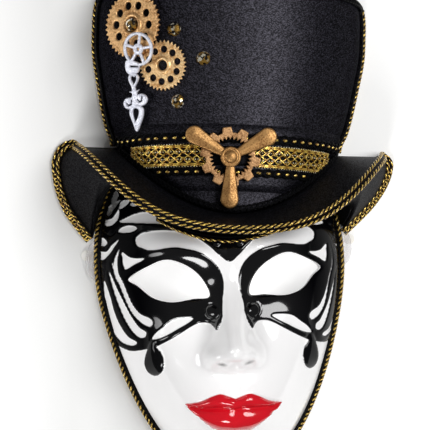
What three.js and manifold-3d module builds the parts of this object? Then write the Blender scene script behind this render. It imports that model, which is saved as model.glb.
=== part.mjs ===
// A full-face carnival mask with half a top hat over the forehead, lying on its back rim, in millimetres.
// The face looks up, along +Z. X runs across the face, Y from the chin to the crown.
// Face pieces are drawn in the face's frame: its midline at X = 0, its back rim at Z = 0.
// Hat pieces are drawn in the hat's frame, which is cocked a few degrees on the face.

import * as THREE from "three";
import { mergeVertices } from "three/addons/utils/BufferGeometryUtils.js";
import Module from "manifold-3d";

const wasm = await Module();
wasm.setup();

// Driving dimensions
const GAP = 0.3; // between pieces that touch

const FACE = {
  middleY: -32, // middle of the outline's height
  halfHeight: 106, // rim braid included
  halfWidth: 70.2, // at the middle of the height
  jawToBrow: 10.3, // the brow is this much wider than that, the jaw this much narrower
  braidInset: 3.2, // the shell's rim lies this far inside the braid's outer edge
  wall: 2.0,
};
// Rows and columns of the shell's grid: [Y, mm] from the brow's end, and shares of the half width
const FACE_ROWS = [
  70.8, 70.2, 68, 62, 54, 44, 34, 24, 14, 6, 0, -5, -10, -15.5, -21, -27, -33, -39, -45, -50.5, -55.5, -59.5,
  -62.5, -65, -67.5, -70, -73, -77.5, -81.5, -84.5, -87.5, -90, -92, -95, -98.5, -102.5, -106.5, -111, -117, -123.5,
  -129.5, -133.4, -134.8,
];
const FACE_COLUMNS = [0, 0.045, 0.1, 0.16, 0.225, 0.3, 0.385, 0.48, 0.58, 0.69, 0.79, 0.88, 0.95, 0.985, 1];

// Height of the bare dome along the midline: [height in the outline from -1 at the chin to 1, mm]
const DOME = [
  [-1, 78],
  [-0.85, 76],
  [-0.7, 72],
  [-0.55, 69],
  [-0.37, 65.5],
  [-0.12, 60.5],
  [0.1, 61.5],
  [0.24, 63],
  [0.46, 56],
  [0.7, 46],
  [1, 30],
];

// Height of the nose's ridge over the dome: [Y, mm]
const NOSE_RIDGE = [
  [-72, 0],
  [-69.5, 3],
  [-67, 9],
  [-64, 16.5],
  [-61, 21],
  [-57.5, 22.5],
  [-52, 20.5],
  [-44, 15.5],
  [-35, 9.5],
  [-28, 5.5],
  [-20, 2.3],
  [-8, 0],
];

// Outline of the eye hole on the wearer's left, from its outer corner over the top
const EYE_HOLE = [
  [54, -17.8],
  [43, -10.8],
  [33, -7.5],
  [22, -11.5],
  [13.8, -19.5],
  [10.8, -29.2],
  [20, -30.2],
  [32, -31.2],
  [42, -28],
  [49.5, -21.5],
];

const MOUTH = { halfWidth: 26, y: -89.5, upper: 7.2, lower: 13, sag: 1.6 };

const HAT = { x: 9.8, y: 54, turn: -5.2, lean: 4.5 }; // where it sits on the face, degrees
const CROWN = { x: -1.8, depth: 57, wall: 2.5, top: 83.4, seamSide: -4, seamDrop: 39.2, tip: 3 };
// Half width of the crown: [height above the brim's ends, mm]
const CROWN_HALF_WIDTH = [
  [-45, 61.5],
  [0, 64.2],
  [10, 68],
  [30, 72.4],
  [57, 76.4],
  [68, 76.4],
  [76, 75.9],
  [83.4, 73.6],
];

const BRIM = { halfWidth: 88.5, depth: 85, drop: 46.6, tipDrop: 2.8, wall: 2.0, bulge: 2.5 };
// Outline of the brim's ends on the floor, braid included, from the tip to the face's rim
const WING_RIGHT = [
  [99.9, 45.4],
  [104.2, 40.5],
  [103.6, 33.5],
  [100.2, 26],
  [95.5, 19.5],
  [89.5, 13],
  [82.5, 6.5],
  [75.6, -0.2],
];
const WING_LEFT = [
  [-79.8, 63.6],
  [-87.6, 60.8],
  [-92.6, 53],
  [-93, 43],
  [-91, 32],
  [-86.5, 21],
  [-80.5, 12],
  [-75, 4.3],
];
// Where the under skin meets the forehead, from the face's left side to its right
const FOREHEAD_LINE = [
  [-53, 35],
  [-46, 27],
  [-36, 17.5],
  [-26, 11],
  [-12, 5.5],
  [2, 3.4],
  [15, 4.2],
  [28, 7],
  [42, 10.5],
  [57, 13.8],
];

const BRAID = { width: 5, thick: 1.3 };
const RIBBON = { top: 5.2, bottom: -31.4, reach: 80, thick: 0.8 };
const LACE = { top: -6.2, bottom: -18.6, reach: 58, thick: 0.9 };
const GIMP = { thick: 1.2, upper: [0.8, -5.8], lower: [-19, -24.4] };

const LARGE_GEAR = { across: -46.2, up: 60.6, radius: 19, teeth: 40, holes: 10, holeRing: 10.9, hole: 1.9 };
const SMALL_GEAR = { across: -32.3, up: 37.5, radius: 14.5, teeth: 36, holes: 10, holeRing: 8.8, hole: 1.6 };
const PROPELLER = { across: -1.8, up: -12.9, radius: 28, blade: 9.8, root: 4.4, hub: 5.5, thick: 2.2 };
const COG_RING = { radius: 16.5, root: 13.4, bore: 11, teeth: 10, thick: 1.5 };
const CLOCK_HAND = { across: -41.5, up: 45.8, wheel: 9.4, wheelUp: 1.1, thick: 1.4 };
const CRYSTALS = { top: [-26.4, 57], middle: [-13.9, 41], low: [-26.2, 17.6] };
const CRYSTAL = { radius: 4, height: 3 };
const TAB = { y: -6.8, length: 24, reach: 4.6, z: 2.2, thick: 1 };
const BUTTON = { x: 75.8, y: -3.6, radius: 3.1, thick: 1.5 };

const COLOURS = {
  whitePlastic: { color: 0xf4f4f2, roughness: 0.25, metalness: 0 },
  blackSatin: { color: 0x17171a, roughness: 0.55, metalness: 0 },
  braid: { color: 0x4a3a17, roughness: 0.5, metalness: 0.4 },
  blackCord: { color: 0x0d0d0f, roughness: 0.6, metalness: 0 },
  goldLace: { color: 0xd8b23c, roughness: 0.35, metalness: 0.9 },
  bronze: { color: 0xa88350, roughness: 0.4, metalness: 0.8 },
  copper: { color: 0x82664a, roughness: 0.45, metalness: 0.8 },
  tanGold: { color: 0xc79b62, roughness: 0.5, metalness: 0.7 },
  paleGold: { color: 0xdcbd8b, roughness: 0.45, metalness: 0.7 },
  silver: { color: 0xd9d9e2, roughness: 0.4, metalness: 0.6 },
  crystal: { color: 0xc9a24a, roughness: 0.1, metalness: 0.6 },
  clearPlastic: { color: 0xe9e6ea, roughness: 0.2, metalness: 0 },
};

const degrees = THREE.MathUtils.degToRad;
const point = (x, y, z) => new THREE.Vector3(x, y, z);
const steps = (count) => Array.from({ length: count + 1 }, (_, i) => i / count);
const mix = THREE.MathUtils.lerp;
const bump = (dx, width, dy, height) => Math.exp(-((dx / width) ** 2) - (dy / height) ** 2);

// A smooth curve through the points that never overshoots them: harmonic means of the slopes as tangents
function through(points) {
  const rise = points.slice(1).map(([x, y], i) => (y - points[i][1]) / (x - points[i][0]));
  const tangents = points.map((_, i) => {
    const before = rise[i - 1] ?? rise[i];
    const after = rise[i] ?? rise[i - 1];
    return before * after > 0 ? (2 * before * after) / (before + after) : 0;
  });
  return (x) => {
    if (x <= points[0][0]) return points[0][1];
    const next = points.findIndex((p) => p[0] >= x);
    if (next < 0) return points.at(-1)[1];
    const [x0, y0] = points[next - 1];
    const [x1, y1] = points[next];
    const width = x1 - x0;
    const t = (x - x0) / width;
    const start = y0 * (1 + 2 * t) * (1 - t) ** 2 + tangents[next - 1] * width * t * (1 - t) ** 2;
    return start + y1 * t * t * (3 - 2 * t) + tangents[next] * width * t * t * (t - 1);
  };
}

const domeHeight = through(DOME);
const noseRidge = through(NOSE_RIDGE);
const crownHalfWidth = through(CROWN_HALF_WIDTH);

// Solids

// A closed geometry from loose triangles: equal corners are merged, empty triangles dropped, faces turned out
function closedGeometry(corners) {
  const loose = new THREE.BufferGeometry().setFromPoints(corners);
  const merged = mergeVertices(loose, 1e-4);
  const index = [];
  for (let i = 0; i < merged.index.count; i += 3) {
    const triangle = [0, 1, 2].map((k) => merged.index.getX(i + k));
    if (new Set(triangle).size === 3) index.push(...triangle);
  }
  merged.setIndex(index);
  return signedVolume(merged) < 0 ? merged.setIndex(index.reverse()) : merged;
}

function signedVolume(geometry) {
  const position = geometry.getAttribute("position");
  let volume = 0;
  for (let i = 0; i < geometry.index.count; i += 3) {
    const [a, b, c] = [0, 1, 2].map((k) =>
      new THREE.Vector3().fromBufferAttribute(position, geometry.index.getX(i + k)),
    );
    volume += a.dot(b.cross(c)) / 6;
  }
  return volume;
}

// A wall between two grids of points, closed along its borders. In a ring the last row meets the first.
function thickSheet(outer, inner, ring = false) {
  const corners = [];
  const quad = (a, b, c, d) => corners.push(a, b, c, a, c, d);
  const rows = outer.length;
  const last = outer[0].length - 1;
  for (let i = 0; i < (ring ? rows : rows - 1); i++) {
    const k = (i + 1) % rows;
    for (let j = 0; j < last; j++) {
      quad(outer[i][j], outer[k][j], outer[k][j + 1], outer[i][j + 1]);
      quad(inner[i][j], inner[i][j + 1], inner[k][j + 1], inner[k][j]);
    }
    quad(outer[i][0], inner[i][0], inner[k][0], outer[k][0]);
    quad(outer[i][last], outer[k][last], inner[k][last], inner[i][last]);
  }
  for (let j = 0; j < last && !ring; j++) {
    quad(outer[0][j], outer[0][j + 1], inner[0][j + 1], inner[0][j]);
    quad(outer[rows - 1][j], inner[rows - 1][j], inner[rows - 1][j + 1], outer[rows - 1][j + 1]);
  }
  return closedGeometry(corners);
}

// A solid under rows of points, closed by a flat floor between the rows' ends
function flooredDome(rows) {
  const corners = [];
  const quad = (a, b, c, d) => corners.push(a, b, c, a, c, d);
  for (let i = 0; i + 1 < rows.length; i++) {
    const [row, next] = [rows[i], rows[i + 1]];
    for (let j = 0; j + 1 < row.length; j++) quad(row[j], row[j + 1], next[j + 1], next[j]);
    quad(row.at(-1), row[0], next[0], next.at(-1));
  }
  return closedGeometry(corners);
}

function toSolid(geometry) {
  const bare = geometry.clone();
  bare.deleteAttribute("normal");
  bare.deleteAttribute("uv");
  const merged = mergeVertices(bare, 1e-4);
  return new wasm.Manifold(
    new wasm.Mesh({
      numProp: 3,
      vertProperties: merged.getAttribute("position").array,
      triVerts: new Uint32Array(merged.index.array),
    }),
  );
}

function toGeometry(solid) {
  const mesh = solid.getMesh();
  return new THREE.BufferGeometry()
    .setAttribute("position", new THREE.BufferAttribute(mesh.vertProperties, 3))
    .setIndex(new THREE.BufferAttribute(mesh.triVerts, 1));
}

const joined = (first, ...others) => toGeometry(others.reduce((all, g) => all.add(toSolid(g)), toSolid(first)));
const cut = (first, ...others) => toGeometry(others.reduce((all, g) => all.subtract(toSolid(g)), toSolid(first)));

function plate(shape, thick, z = 0) {
  const geometry = new THREE.ExtrudeGeometry(shape, { depth: thick, bevelEnabled: false, curveSegments: 3 });
  return geometry.translate(0, 0, z);
}

function disc(radius, thick, z, sides) {
  return new THREE.CylinderGeometry(radius, radius, thick, sides).rotateX(Math.PI / 2).translate(0, 0, z + thick / 2);
}

const circlePath = (x, y, radius, sides) =>
  new THREE.Path(steps(sides - 1).map((_, i) => {
    const angle = (i / sides) * 2 * Math.PI;
    return new THREE.Vector2(x + radius * Math.cos(angle), y + radius * Math.sin(angle));
  }));

// Face

// The outline is an ellipse whose width swells from the jaw to the brow
function outlineFactor(height) {
  return FACE.halfWidth + FACE.jawToBrow * Math.tanh(1.6 * height);
}

// A point of the outline at an angle round it, moved out by a distance
function rimPoint(angle, out = 0) {
  const height = Math.sin(angle);
  const x = (outlineFactor(height) + out) * Math.cos(angle);
  return point(x, FACE.middleY + (FACE.halfHeight + out) * height, 0);
}

// Lips: two swells across the mouth, parted by a groove that follows the parting
function lipHeight(side, y) {
  const t = Math.min(side / MOUTH.halfWidth, 1);
  const parting = MOUTH.y - MOUTH.sag * (1 - t * t) + 1.2 * t;
  const upper = MOUTH.upper * (1 - t ** 1.6) * (1 - 0.22 * bump(side, 3.5, 0, 1));
  const lower = MOUTH.lower * Math.sqrt(1 - t * t);
  const fade = Math.sqrt(1 - t ** 3);
  const swell = (share) => Math.sin(Math.PI * Math.min(Math.max(share, 0), 1)) ** 0.8;
  const above = 3.4 * swell((y - parting) / (upper + 0.1));
  const below = 4.2 * swell((parting - y) / (lower + 0.1));
  return fade * (above + below - 2.6 * bump(0, 1, y - parting, 1.1));
}

// The face's height over the back rim: a dome with a nose, sockets, brows, cheekbones, mouth and chin
function faceHeight(x, y) {
  const side = Math.abs(x);
  const height = (y - FACE.middleY) / (FACE.halfHeight - FACE.braidInset);
  const width = outlineFactor(Math.max(-1, Math.min(1, height))) - FACE.braidInset;
  const spread = height ** 2 + (side / width) ** 2;
  if (spread >= 1) return 0;
  const dome = domeHeight(height) * (1 - spread ** 1.6) ** 0.8;
  const ridgeWidth = mix(7.5, 11, Math.min(Math.max((-y - 15) / 45, 0), 1));
  const nose = noseRidge(y) * Math.exp(-((side / ridgeWidth) ** 2.1)) + 5 * bump(side - 12, 4.4, y + 62.5, 5.5);
  const sockets = -6 * bump(side - 32, 19, y + 20, 13) - 4 * bump(side - 17, 7, y + 24, 8);
  const brows = 3.5 * bump(side - 30, 22, y + 3, 8) + 3 * bump(side - 44, 17, y + 46, 15);
  const muzzle = 4 * bump(side, 24, y + 86, 18) + 6 * bump(side, 17, y + 121, 11);
  const folds = -3 * bump(side, 18, y + 107.5, 4.5) - 1.2 * bump(side, 2.8, y + 76, 5);
  return Math.max(dome + nose + sockets + brows + muzzle + folds + lipHeight(side, y), 0);
}

// A point of the face's surface, moved out along its normal
function facePoint(x, y, out = 0) {
  const step = 0.5;
  const slopeX = (faceHeight(x + step, y) - faceHeight(x - step, y)) / (2 * step);
  const slopeY = (faceHeight(x, y + step) - faceHeight(x, y - step)) / (2 * step);
  const normal = point(-slopeX, -slopeY, 1).normalize();
  return point(x, y, faceHeight(x, y)).addScaledVector(normal, out);
}

// Height of the surface that keeps a distance from the face's: where a ball of that radius rolls over or under it
function offsetHeight(x, y, out) {
  const radius = Math.abs(out);
  const touches = [0, 0.5, 0.85, 1].flatMap((share) =>
    steps(8).slice(1).map((turn) => {
      const dx = share * radius * Math.cos(turn * 2 * Math.PI);
      const dy = share * radius * Math.sin(turn * 2 * Math.PI);
      return Math.sign(out) * faceHeight(x + dx, y + dy) + radius * Math.sqrt(1 - share ** 2);
    }),
  );
  return out ? Math.sign(out) * Math.max(...touches) : faceHeight(x, y);
}

// Rows of points across the face at a distance from its surface, every one or every second row and column
function faceGrid(out, rimZ, every) {
  const chosen = (list) => list.filter((_, i) => i % every === 0);
  const half = chosen(FACE_COLUMNS);
  const columns = [...half.slice(1).map((share) => -share).reverse(), ...half];
  const size = (FACE.halfHeight - FACE.braidInset + out) / (FACE.halfHeight - FACE.braidInset);
  return chosen(FACE_ROWS).map((rowY) => {
    const y = FACE.middleY + (rowY - FACE.middleY) * size;
    const height = (y - FACE.middleY) / (FACE.halfHeight - FACE.braidInset + out);
    const width = (outlineFactor(height) - FACE.braidInset + out) * Math.sqrt(Math.max(1 - height ** 2, 0));
    return columns.map((share) => {
      const onRim = Math.abs(share) === 1 || width < 0.01;
      return point(share * width, y, onRim ? rimZ : offsetHeight(share * width, y, out));
    });
  });
}

function eyeHole(side) {
  const outline = new THREE.CatmullRomCurve3(
    EYE_HOLE.map(([x, y]) => point(side * x, y, 0)),
    true,
  );
  return plate(new THREE.Shape(outline.getPoints(22).slice(0, -1)), 60, 25);
}

function face() {
  const inside = flooredDome(faceGrid(-FACE.wall, -1, 2));
  return cut(flooredDome(faceGrid(0, 0, 1)), inside, eyeHole(1), eyeHole(-1));
}

// The braid leans on the shell's wall just above the rim, from behind the brim round the chin
function faceEdgeBraid() {
  const row = (low, high, lift) => (t) => {
    const angle = degrees(mix(138, 387, t));
    const { x, y } = rimPoint(angle, -FACE.braidInset - 0.9);
    const top = rimPoint(angle, high).setZ(faceHeight(x, y) + lift);
    return [rimPoint(angle, low).setZ(0.05), rimPoint(angle, low).setZ(1.2), top];
  };
  const outer = steps(46).map(row(0, -FACE.braidInset - 0.3, 1.6));
  const inner = steps(46).map(row(-FACE.braidInset + GAP, -FACE.braidInset - 0.8, 0.6));
  return thickSheet(outer, inner);
}

function tab(side) {
  const half = TAB.length / 2;
  const outline = steps(8).map((t) => [mix(-half, half, t), TAB.reach * Math.sin(t * Math.PI) ** 0.6]);
  const rim = (along) => {
    const angle = Math.asin((TAB.y + along - FACE.middleY) / FACE.halfHeight);
    return rimPoint(angle, -0.2).x;
  };
  const row = (z) => outline.map(([along, reach]) => [
    point(side * rim(along), TAB.y + along, z),
    point(side * (rim(along) + 0.4 + reach), TAB.y + along, z),
  ]);
  return thickSheet(row(TAB.z + TAB.thick), row(TAB.z));
}

function button(side) {
  return disc(BUTTON.radius, BUTTON.thick, 0.3, 16).translate(side * BUTTON.x, BUTTON.y, 0);
}

// Hat

const hatTurn = new THREE.Matrix4()
  .makeRotationZ(degrees(HAT.turn))
  .setPosition(HAT.x, HAT.y, 0);
const inFaceFrame = (p) => p.applyMatrix4(hatTurn);
const lean = Math.tan(degrees(HAT.lean));

// A point of the crown's wall: an angle across from the front, a height up, and a distance out
function crownPoint(across, up, out = 0) {
  const angle = degrees(across);
  const z = (CROWN.depth + out) * Math.cos(angle);
  return point(CROWN.x + (crownHalfWidth(up) + out) * Math.sin(angle), up + z * lean, Math.max(z, 0));
}

const seamHeight = (across) => CROWN.seamSide - CROWN.seamDrop * Math.cos(degrees(across)) ** 2;

function hatCrown() {
  const across = steps(26).map((t) => mix(-90, 90, t));
  const shares = [1, 0];
  const wall = (out, top) => (angle) => {
    const base = seamHeight(angle) + GAP;
    const axis = point(CROWN.x, 0, 0);
    const heights = [base, mix(base, 1, 0.55), 1, 10, 30, 57, 69];
    const side = heights.map((up) => crownPoint(angle, up, out));
    const tip = shares.map((share) => crownPoint(angle, top, out).sub(axis).multiplyScalar(share).add(axis));
    tip.forEach((p) => p.setY(top + p.z * lean));
    return [...side, ...tip];
  };
  return thickSheet(across.map(wall(0, CROWN.top)), across.map(wall(-CROWN.wall, CROWN.top - CROWN.tip)));
}

// The brim's front edge, an ellipse in plan that drops towards the front
function brimEdge(across) {
  const angle = degrees(across);
  const drop = Math.cos(angle) ** 2 * (1 + 0.15 * Math.sin(2 * angle) ** 2);
  const x = BRIM.halfWidth * Math.sin(angle);
  const y = -BRIM.drop * drop - BRIM.tipDrop * Math.sin(angle) ** 6;
  return inFaceFrame(point(x, y, BRIM.depth * Math.cos(angle)));
}

const curveThrough = (points) => new THREE.CatmullRomCurve3(points, false, "centripetal");

// The outline of an end without its braid, at a height over the floor
function endEdge(wing, z) {
  const points = wing.map(([x, y], i) => {
    const [beforeX, beforeY] = wing[Math.max(i - 1, 0)];
    const [afterX, afterY] = wing[Math.min(i + 1, wing.length - 1)];
    const inward = point(beforeY - afterY, afterX - beforeX, 0).normalize();
    if (inward.x * x > 0) inward.negate();
    return point(x, y, z).addScaledVector(inward, BRAID.thick + 2 * GAP);
  });
  return curveThrough(points);
}

// Back edge of the under skin, in five stretches: left end, left side of the face, forehead, right side, right end
function underEdge() {
  const besideFace = (turn, z) => rimPoint(degrees(turn), 2.6).setZ(z);
  const forehead = FOREHEAD_LINE.map(([x, y]) => facePoint(x, y, 1.2));
  const left = endEdge(WING_LEFT, 0);
  const leftSide = curveThrough([left.getPoint(1), besideFace(152, 0.3), besideFace(141, 1), besideFace(138, 8)]);
  const front = curveThrough([besideFace(137, 10), ...forehead, besideFace(28, 10)]);
  const right = endEdge([...WING_RIGHT].reverse(), 0);
  const rightSide = curveThrough([besideFace(26, 8), besideFace(24, 1.5), right.getPoint(0)]);
  return [
    { curve: left, from: -89, to: -56, count: 9 },
    { curve: leftSide, from: -56, to: -44, count: 5 },
    { curve: front, from: -44, to: 44, count: 20 },
    { curve: rightSide, from: 44, to: 56, count: 4 },
    { curve: right, from: 56, to: 89, count: 9 },
  ];
}

// One section of the brim from the seam over the front edge to the under skin's back edge
function brimSection(across, back) {
  const seam = inFaceFrame(crownPoint(across, seamHeight(across), -1.2));
  const edge = brimEdge(across);
  const bulge = BRIM.bulge * Math.abs(Math.sin(degrees(across)));
  const under = edge.clone().lerp(back, 0.5);
  const outward = under.clone().sub(seam).setZ(0).normalize();
  under.addScaledVector(outward, bulge * Math.min(1, edge.distanceTo(back) / 40));
  return [seam, seam.clone().lerp(edge, 0.5), edge, under, back];
}

// The same section moved in by the skins' thickness, towards the open back
function innerSection(section) {
  const middle = section[0].clone().lerp(section[4], 0.5);
  return section.map((p, i) => {
    const along = section[Math.min(i + 1, 4)].clone().sub(section[Math.max(i - 1, 0)]).normalize();
    const inward = middle.clone().sub(p);
    inward.addScaledVector(along, -inward.dot(along));
    const depth = Math.min(BRIM.wall * (i === 2 ? 1.8 : 1), 0.6 * inward.length());
    const moved = p.clone().addScaledVector(inward.normalize(), depth);
    return moved.setZ(Math.max(moved.z, 0));
  });
}

function brimSections() {
  return underEdge().flatMap(({ curve, from, to, count }, stretch) =>
    steps(count)
      .slice(stretch ? 1 : 0)
      .map((t) => brimSection(mix(from, to, t), curve.getPoint(t))),
  );
}

function hatBrim() {
  const outer = brimSections();
  const skin = thickSheet(outer, outer.map(innerSection));
  return cut(skin, flooredDome(faceGrid(0.4, -1, 1)));
}

// Braid along the brim's front edge, tipped down in the middle, and round the back edge of both ends
function brimEdgeBraid() {
  const path = brimBraidPath();
  const row = (lift) => ({ centre, width, normal }) => [-1, 1].map((side) =>
    centre.clone().addScaledVector(width, (side * BRAID.width) / 2).addScaledVector(normal, lift),
  );
  const floor = (rows) => rows.map((r) => r.map((p) => p.setZ(Math.max(p.z, 0.05))));
  return thickSheet(floor(path.map(row(GAP + BRAID.thick))), floor(path.map(row(GAP))));
}

// Stations of that braid: its centre, the direction of its width and its outward normal
function brimBraidPath() {
  const ends = [WING_LEFT, WING_RIGHT].map((wing) => endEdge(wing, BRAID.width / 2));
  const up = point(0, 0, 1);
  const onEnd = (curve) => (t) => {
    const along = curve.getTangent(t);
    const normal = along.clone().cross(up).normalize();
    const centre = curve.getPoint(t);
    const middle = point(HAT.x, 30, 0);
    if (normal.dot(centre.clone().sub(middle)) < 0) normal.negate();
    return { centre, width: up.clone(), normal };
  };
  const onFront = (across) => {
    const along = brimEdge(across + 1).sub(brimEdge(across - 1)).normalize();
    const facing = up.clone().addScaledVector(along, -up.dot(along)).normalize();
    const tip = 42 * Math.cos(degrees(across)) ** 4;
    const normal = facing.applyAxisAngle(along, degrees(tip));
    const width = normal.clone().cross(along).normalize();
    return { centre: brimEdge(across).addScaledVector(normal, 0.9), width, normal };
  };
  const left = steps(10).slice(1).reverse().map(onEnd(ends[0]));
  const front = steps(38).map((t) => onFront(mix(-84, 84, t)));
  const right = steps(10).slice(1).map(onEnd(ends[1]));
  const wide = [...left, ...front, ...right];
  wide.slice(1).forEach((station, i) => {
    if (station.width.dot(wide[i].width) < 0) station.width.negate();
  });
  return wide;
}

function brimLowerBraid() {
  const line = curveThrough(FOREHEAD_LINE.slice(2, 8).map(([x, y]) => point(x, y, 0)));
  const rows = (lift) => steps(12).map((t) => {
    const { x, y } = line.getPoint(t);
    return [facePoint(x, y - 0.8, lift), facePoint(x, y - 3.8, lift)];
  });
  return thickSheet(rows(1.6), rows(GAP + 0.2));
}

// A band on the crown's wall between two heights that may change with the angle
function crownBand(top, bottom, reach, from, thick, count) {
  const rows = (out) => steps(count).map((t) => {
    const across = mix(-reach, reach, t);
    return [0, 0.85, 1].map((s) => crownPoint(across, mix(bottom(across), top(across), s), out));
  });
  return thickSheet(rows(from + thick), rows(from));
}

const aboveSeam = (height, clear) => (across) => Math.max(height, seamHeight(across) + clear);

function ribbon() {
  return crownBand(() => RIBBON.top, aboveSeam(RIBBON.bottom, 4), RIBBON.reach, GAP + 0.15, RIBBON.thick, 22);
}

const overRibbon = GAP + 0.15 + RIBBON.thick + GAP;

function laceBand() {
  return crownBand(() => LACE.top, aboveSeam(LACE.bottom, 4.5), LACE.reach, overRibbon, LACE.thick, 18);
}

function gimpUpper() {
  return crownBand(() => GIMP.upper[0], aboveSeam(GIMP.upper[1], 4.5), 74, overRibbon + 0.2, GIMP.thick, 20);
}

function gimpLower() {
  return crownBand(() => GIMP.lower[0], aboveSeam(GIMP.lower[1], 4.5), 41, overRibbon, GIMP.thick, 14);
}

// Gimp that hides the seam, leaning between the crown's wall and the brim
function seamGimp() {
  const rows = (near, far) => steps(26).map((t) => {
    const across = mix(-72, 72, t);
    const base = seamHeight(across);
    return [crownPoint(across, base + 3.4, near), crownPoint(across, base + far, far)];
  });
  return thickSheet(rows(1.8, 3.8), rows(GAP + 0.2, 2.4));
}

// Braid down a side edge of the crown, on its front near the back plane
function crownBraid(side) {
  const rows = (out) => steps(14).map((t) => {
    const up = mix(-2, CROWN.top - 6, t);
    return [0.05, 5].map((z) => {
      const across = 90 - THREE.MathUtils.radToDeg(Math.asin(z / CROWN.depth));
      const p = crownPoint(side * across, up, 0);
      const sideways = Math.sqrt(1 - (p.z / CROWN.depth) ** 2);
      return p.setX(p.x + side * out * sideways);
    });
  });
  return thickSheet(rows(GAP + BRAID.thick), rows(GAP));
}

function crownTopGimp() {
  const rows = (out) => steps(24).map((t) => {
    const across = mix(-84, 84, t);
    return [CROWN.top - 4.4, CROWN.top].map((up) => crownPoint(across, up, out));
  });
  return thickSheet(rows(GAP + 1.5), rows(GAP + 0.15));
}

// Charms

// A group that stands on the crown's wall: its Z out of the wall, its Y up the wall
function onCrown(across, up, out, turn = 0, tip = 0) {
  const centre = crownPoint(across, up, 0);
  const rightward = crownPoint(across + 1, up, 0).sub(crownPoint(across - 1, up, 0)).normalize();
  const upward = crownPoint(across, up + 1, 0).sub(crownPoint(across, up - 1, 0)).normalize();
  const normal = rightward.clone().cross(upward).normalize();
  const group = new THREE.Group();
  group.matrix.makeBasis(rightward, normal.clone().cross(rightward), normal);
  group.matrix.decompose(group.position, group.quaternion, group.scale);
  group.rotateX(degrees(tip));
  group.rotateZ(degrees(turn));
  group.position.copy(centre.addScaledVector(normal, out));
  return group;
}

// A ring of teeth, each with a tip and a root of equal width
function toothedOutline(teeth, tip, root, share = 0.5) {
  return steps(teeth - 1).flatMap((_, i) => {
    const at = (turn, radius) => {
      const angle = ((i + turn) / teeth) * 2 * Math.PI;
      return new THREE.Vector2(radius * Math.cos(angle), radius * Math.sin(angle));
    };
    const slope = 0.12;
    const corners = [at(0, root), at(slope, tip), at(share, tip), at(share + slope, root)];
    return teeth > 20 ? [at(0, root), at(0.5, tip)] : corners;
  });
}

function gear({ radius, teeth, holes, holeRing, hole }, thick) {
  const shape = new THREE.Shape(toothedOutline(teeth, radius, radius - 1.6));
  for (let i = 0; i < holes; i++) {
    const angle = (i / holes) * 2 * Math.PI + 0.15;
    shape.holes.push(circlePath(holeRing * Math.cos(angle), holeRing * Math.sin(angle), hole, 6));
  }
  return plate(shape, thick);
}

function gearLarge() {
  const rim = disc(6.2, 2.2, 1.4, 16);
  const boss = disc(5.2, 2, 0, 12);
  return cut(joined(gear(LARGE_GEAR, 1.3).translate(0, 0, 1.8), rim, boss), disc(4.3, 2.5, 3.1, 16));
}

function gearSmall() {
  const bored = gear(SMALL_GEAR, 1.1);
  return cut(joined(bored, disc(5, 1.7, 0, 16)), disc(2.9, 4, -1, 12));
}

function cogRing() {
  const shape = new THREE.Shape(toothedOutline(COG_RING.teeth, COG_RING.radius, COG_RING.root, 0.4));
  shape.holes.push(circlePath(0, 0, COG_RING.bore, 24));
  return plate(shape, COG_RING.thick);
}

function propeller() {
  const blades = [-90, 30, 150].map((angle) => {
    const half = (t) => mix(PROPELLER.root, PROPELLER.blade, Math.min(t / 0.75, 1) ** 0.8) / 2;
    const along = [0.08, 0.3, 0.5, 0.7, 0.82];
    const tipCentre = PROPELLER.radius - PROPELLER.blade / 2;
    const side = along.map((t) => new THREE.Vector2(t * PROPELLER.radius, half(t)));
    const round = [60, 30, 0, -30, -60].map((turn) => {
      const a = degrees(turn);
      const reach = PROPELLER.blade / 2;
      return new THREE.Vector2(tipCentre + reach * Math.cos(a), reach * Math.sin(a));
    });
    const back = side.map((p) => new THREE.Vector2(p.x, -p.y)).reverse();
    return plate(new THREE.Shape([...side, ...round, ...back]), PROPELLER.thick).rotateZ(degrees(angle));
  });
  const dome = new THREE.SphereGeometry(3.5, 12, 6).scale(1, 1, 0.6).translate(0, 0, 3);
  return joined(disc(PROPELLER.hub, 3, 0, 20), dome, ...blades);
}

// The silver clock hand hangs from its spoked wheel: a neck, an eyelet, two scrolls and a pointed eyelet
function clockHand() {
  const { wheel, wheelUp, thick } = CLOCK_HAND;
  const rim = new THREE.Shape(circlePath(0, 0, wheel, 24).getPoints());
  rim.holes.push(circlePath(0, 0, wheel - 1.9, 20));
  const spokes = [80, 10, -65, -120, 165].map((turn) =>
    new THREE.BoxGeometry(wheel - 1, 1.5, thick).translate((wheel - 1) / 2, 0, thick / 2).rotateZ(degrees(turn)),
  );
  // Neck, upper eye, barbs, scrolls and leaf, down the left side and up the right
  const outline = [
    [-7.4, -6], [-8, -9.4], [-7.1, -11.9], [-5.2, -13.3], [-6.2, -15.1], [-5.5, -17.6], [-3.9, -21.4], [-5.4, -22.8],
    [-3.8, -24], [-4.2, -26.2], [-5.5, -26], [-8.2, -27.1], [-9.3, -29.5], [-8.2, -31.8], [-5.4, -32.6], [-5.2, -35],
    [-3.9, -38.3], [-1.6, -43.6], [-0.6, -44.7], [0.5, -43.4], [3.1, -37], [3.7, -33.6], [3.2, -30], [4.9, -28.9],
    [6.1, -26.4], [4.9, -24.1], [2.2, -23.3], [-0.3, -24.3], [0.8, -21.2], [-1.5, -20.6], [-0.4, -17.3], [0.5, -14.5],
    [-0.2, -12.2], [0.9, -9.8], [1, -6],
  ];
  const eyelets = [
    [[-4.5, -14.4], [-2.6, -18.3], [-1.1, -14.4]],
    [[-3, -32.4], [-3.1, -35], [-1.4, -38.9], [0.6, -34.8], [0.5, -32.4]],
  ];
  const holes = eyelets.map((corners) => plate(new THREE.Shape(corners.map(toPlane)), 3 * thick, -thick));
  const body = cut(plate(new THREE.Shape(outline.map(toPlane)), thick), ...holes);
  const parts = [plate(rim, thick), disc(2.8, thick, 0, 10), ...spokes];
  return joined(...parts.map((part) => part.translate(0, wheelUp, 0)), body);
}

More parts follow.
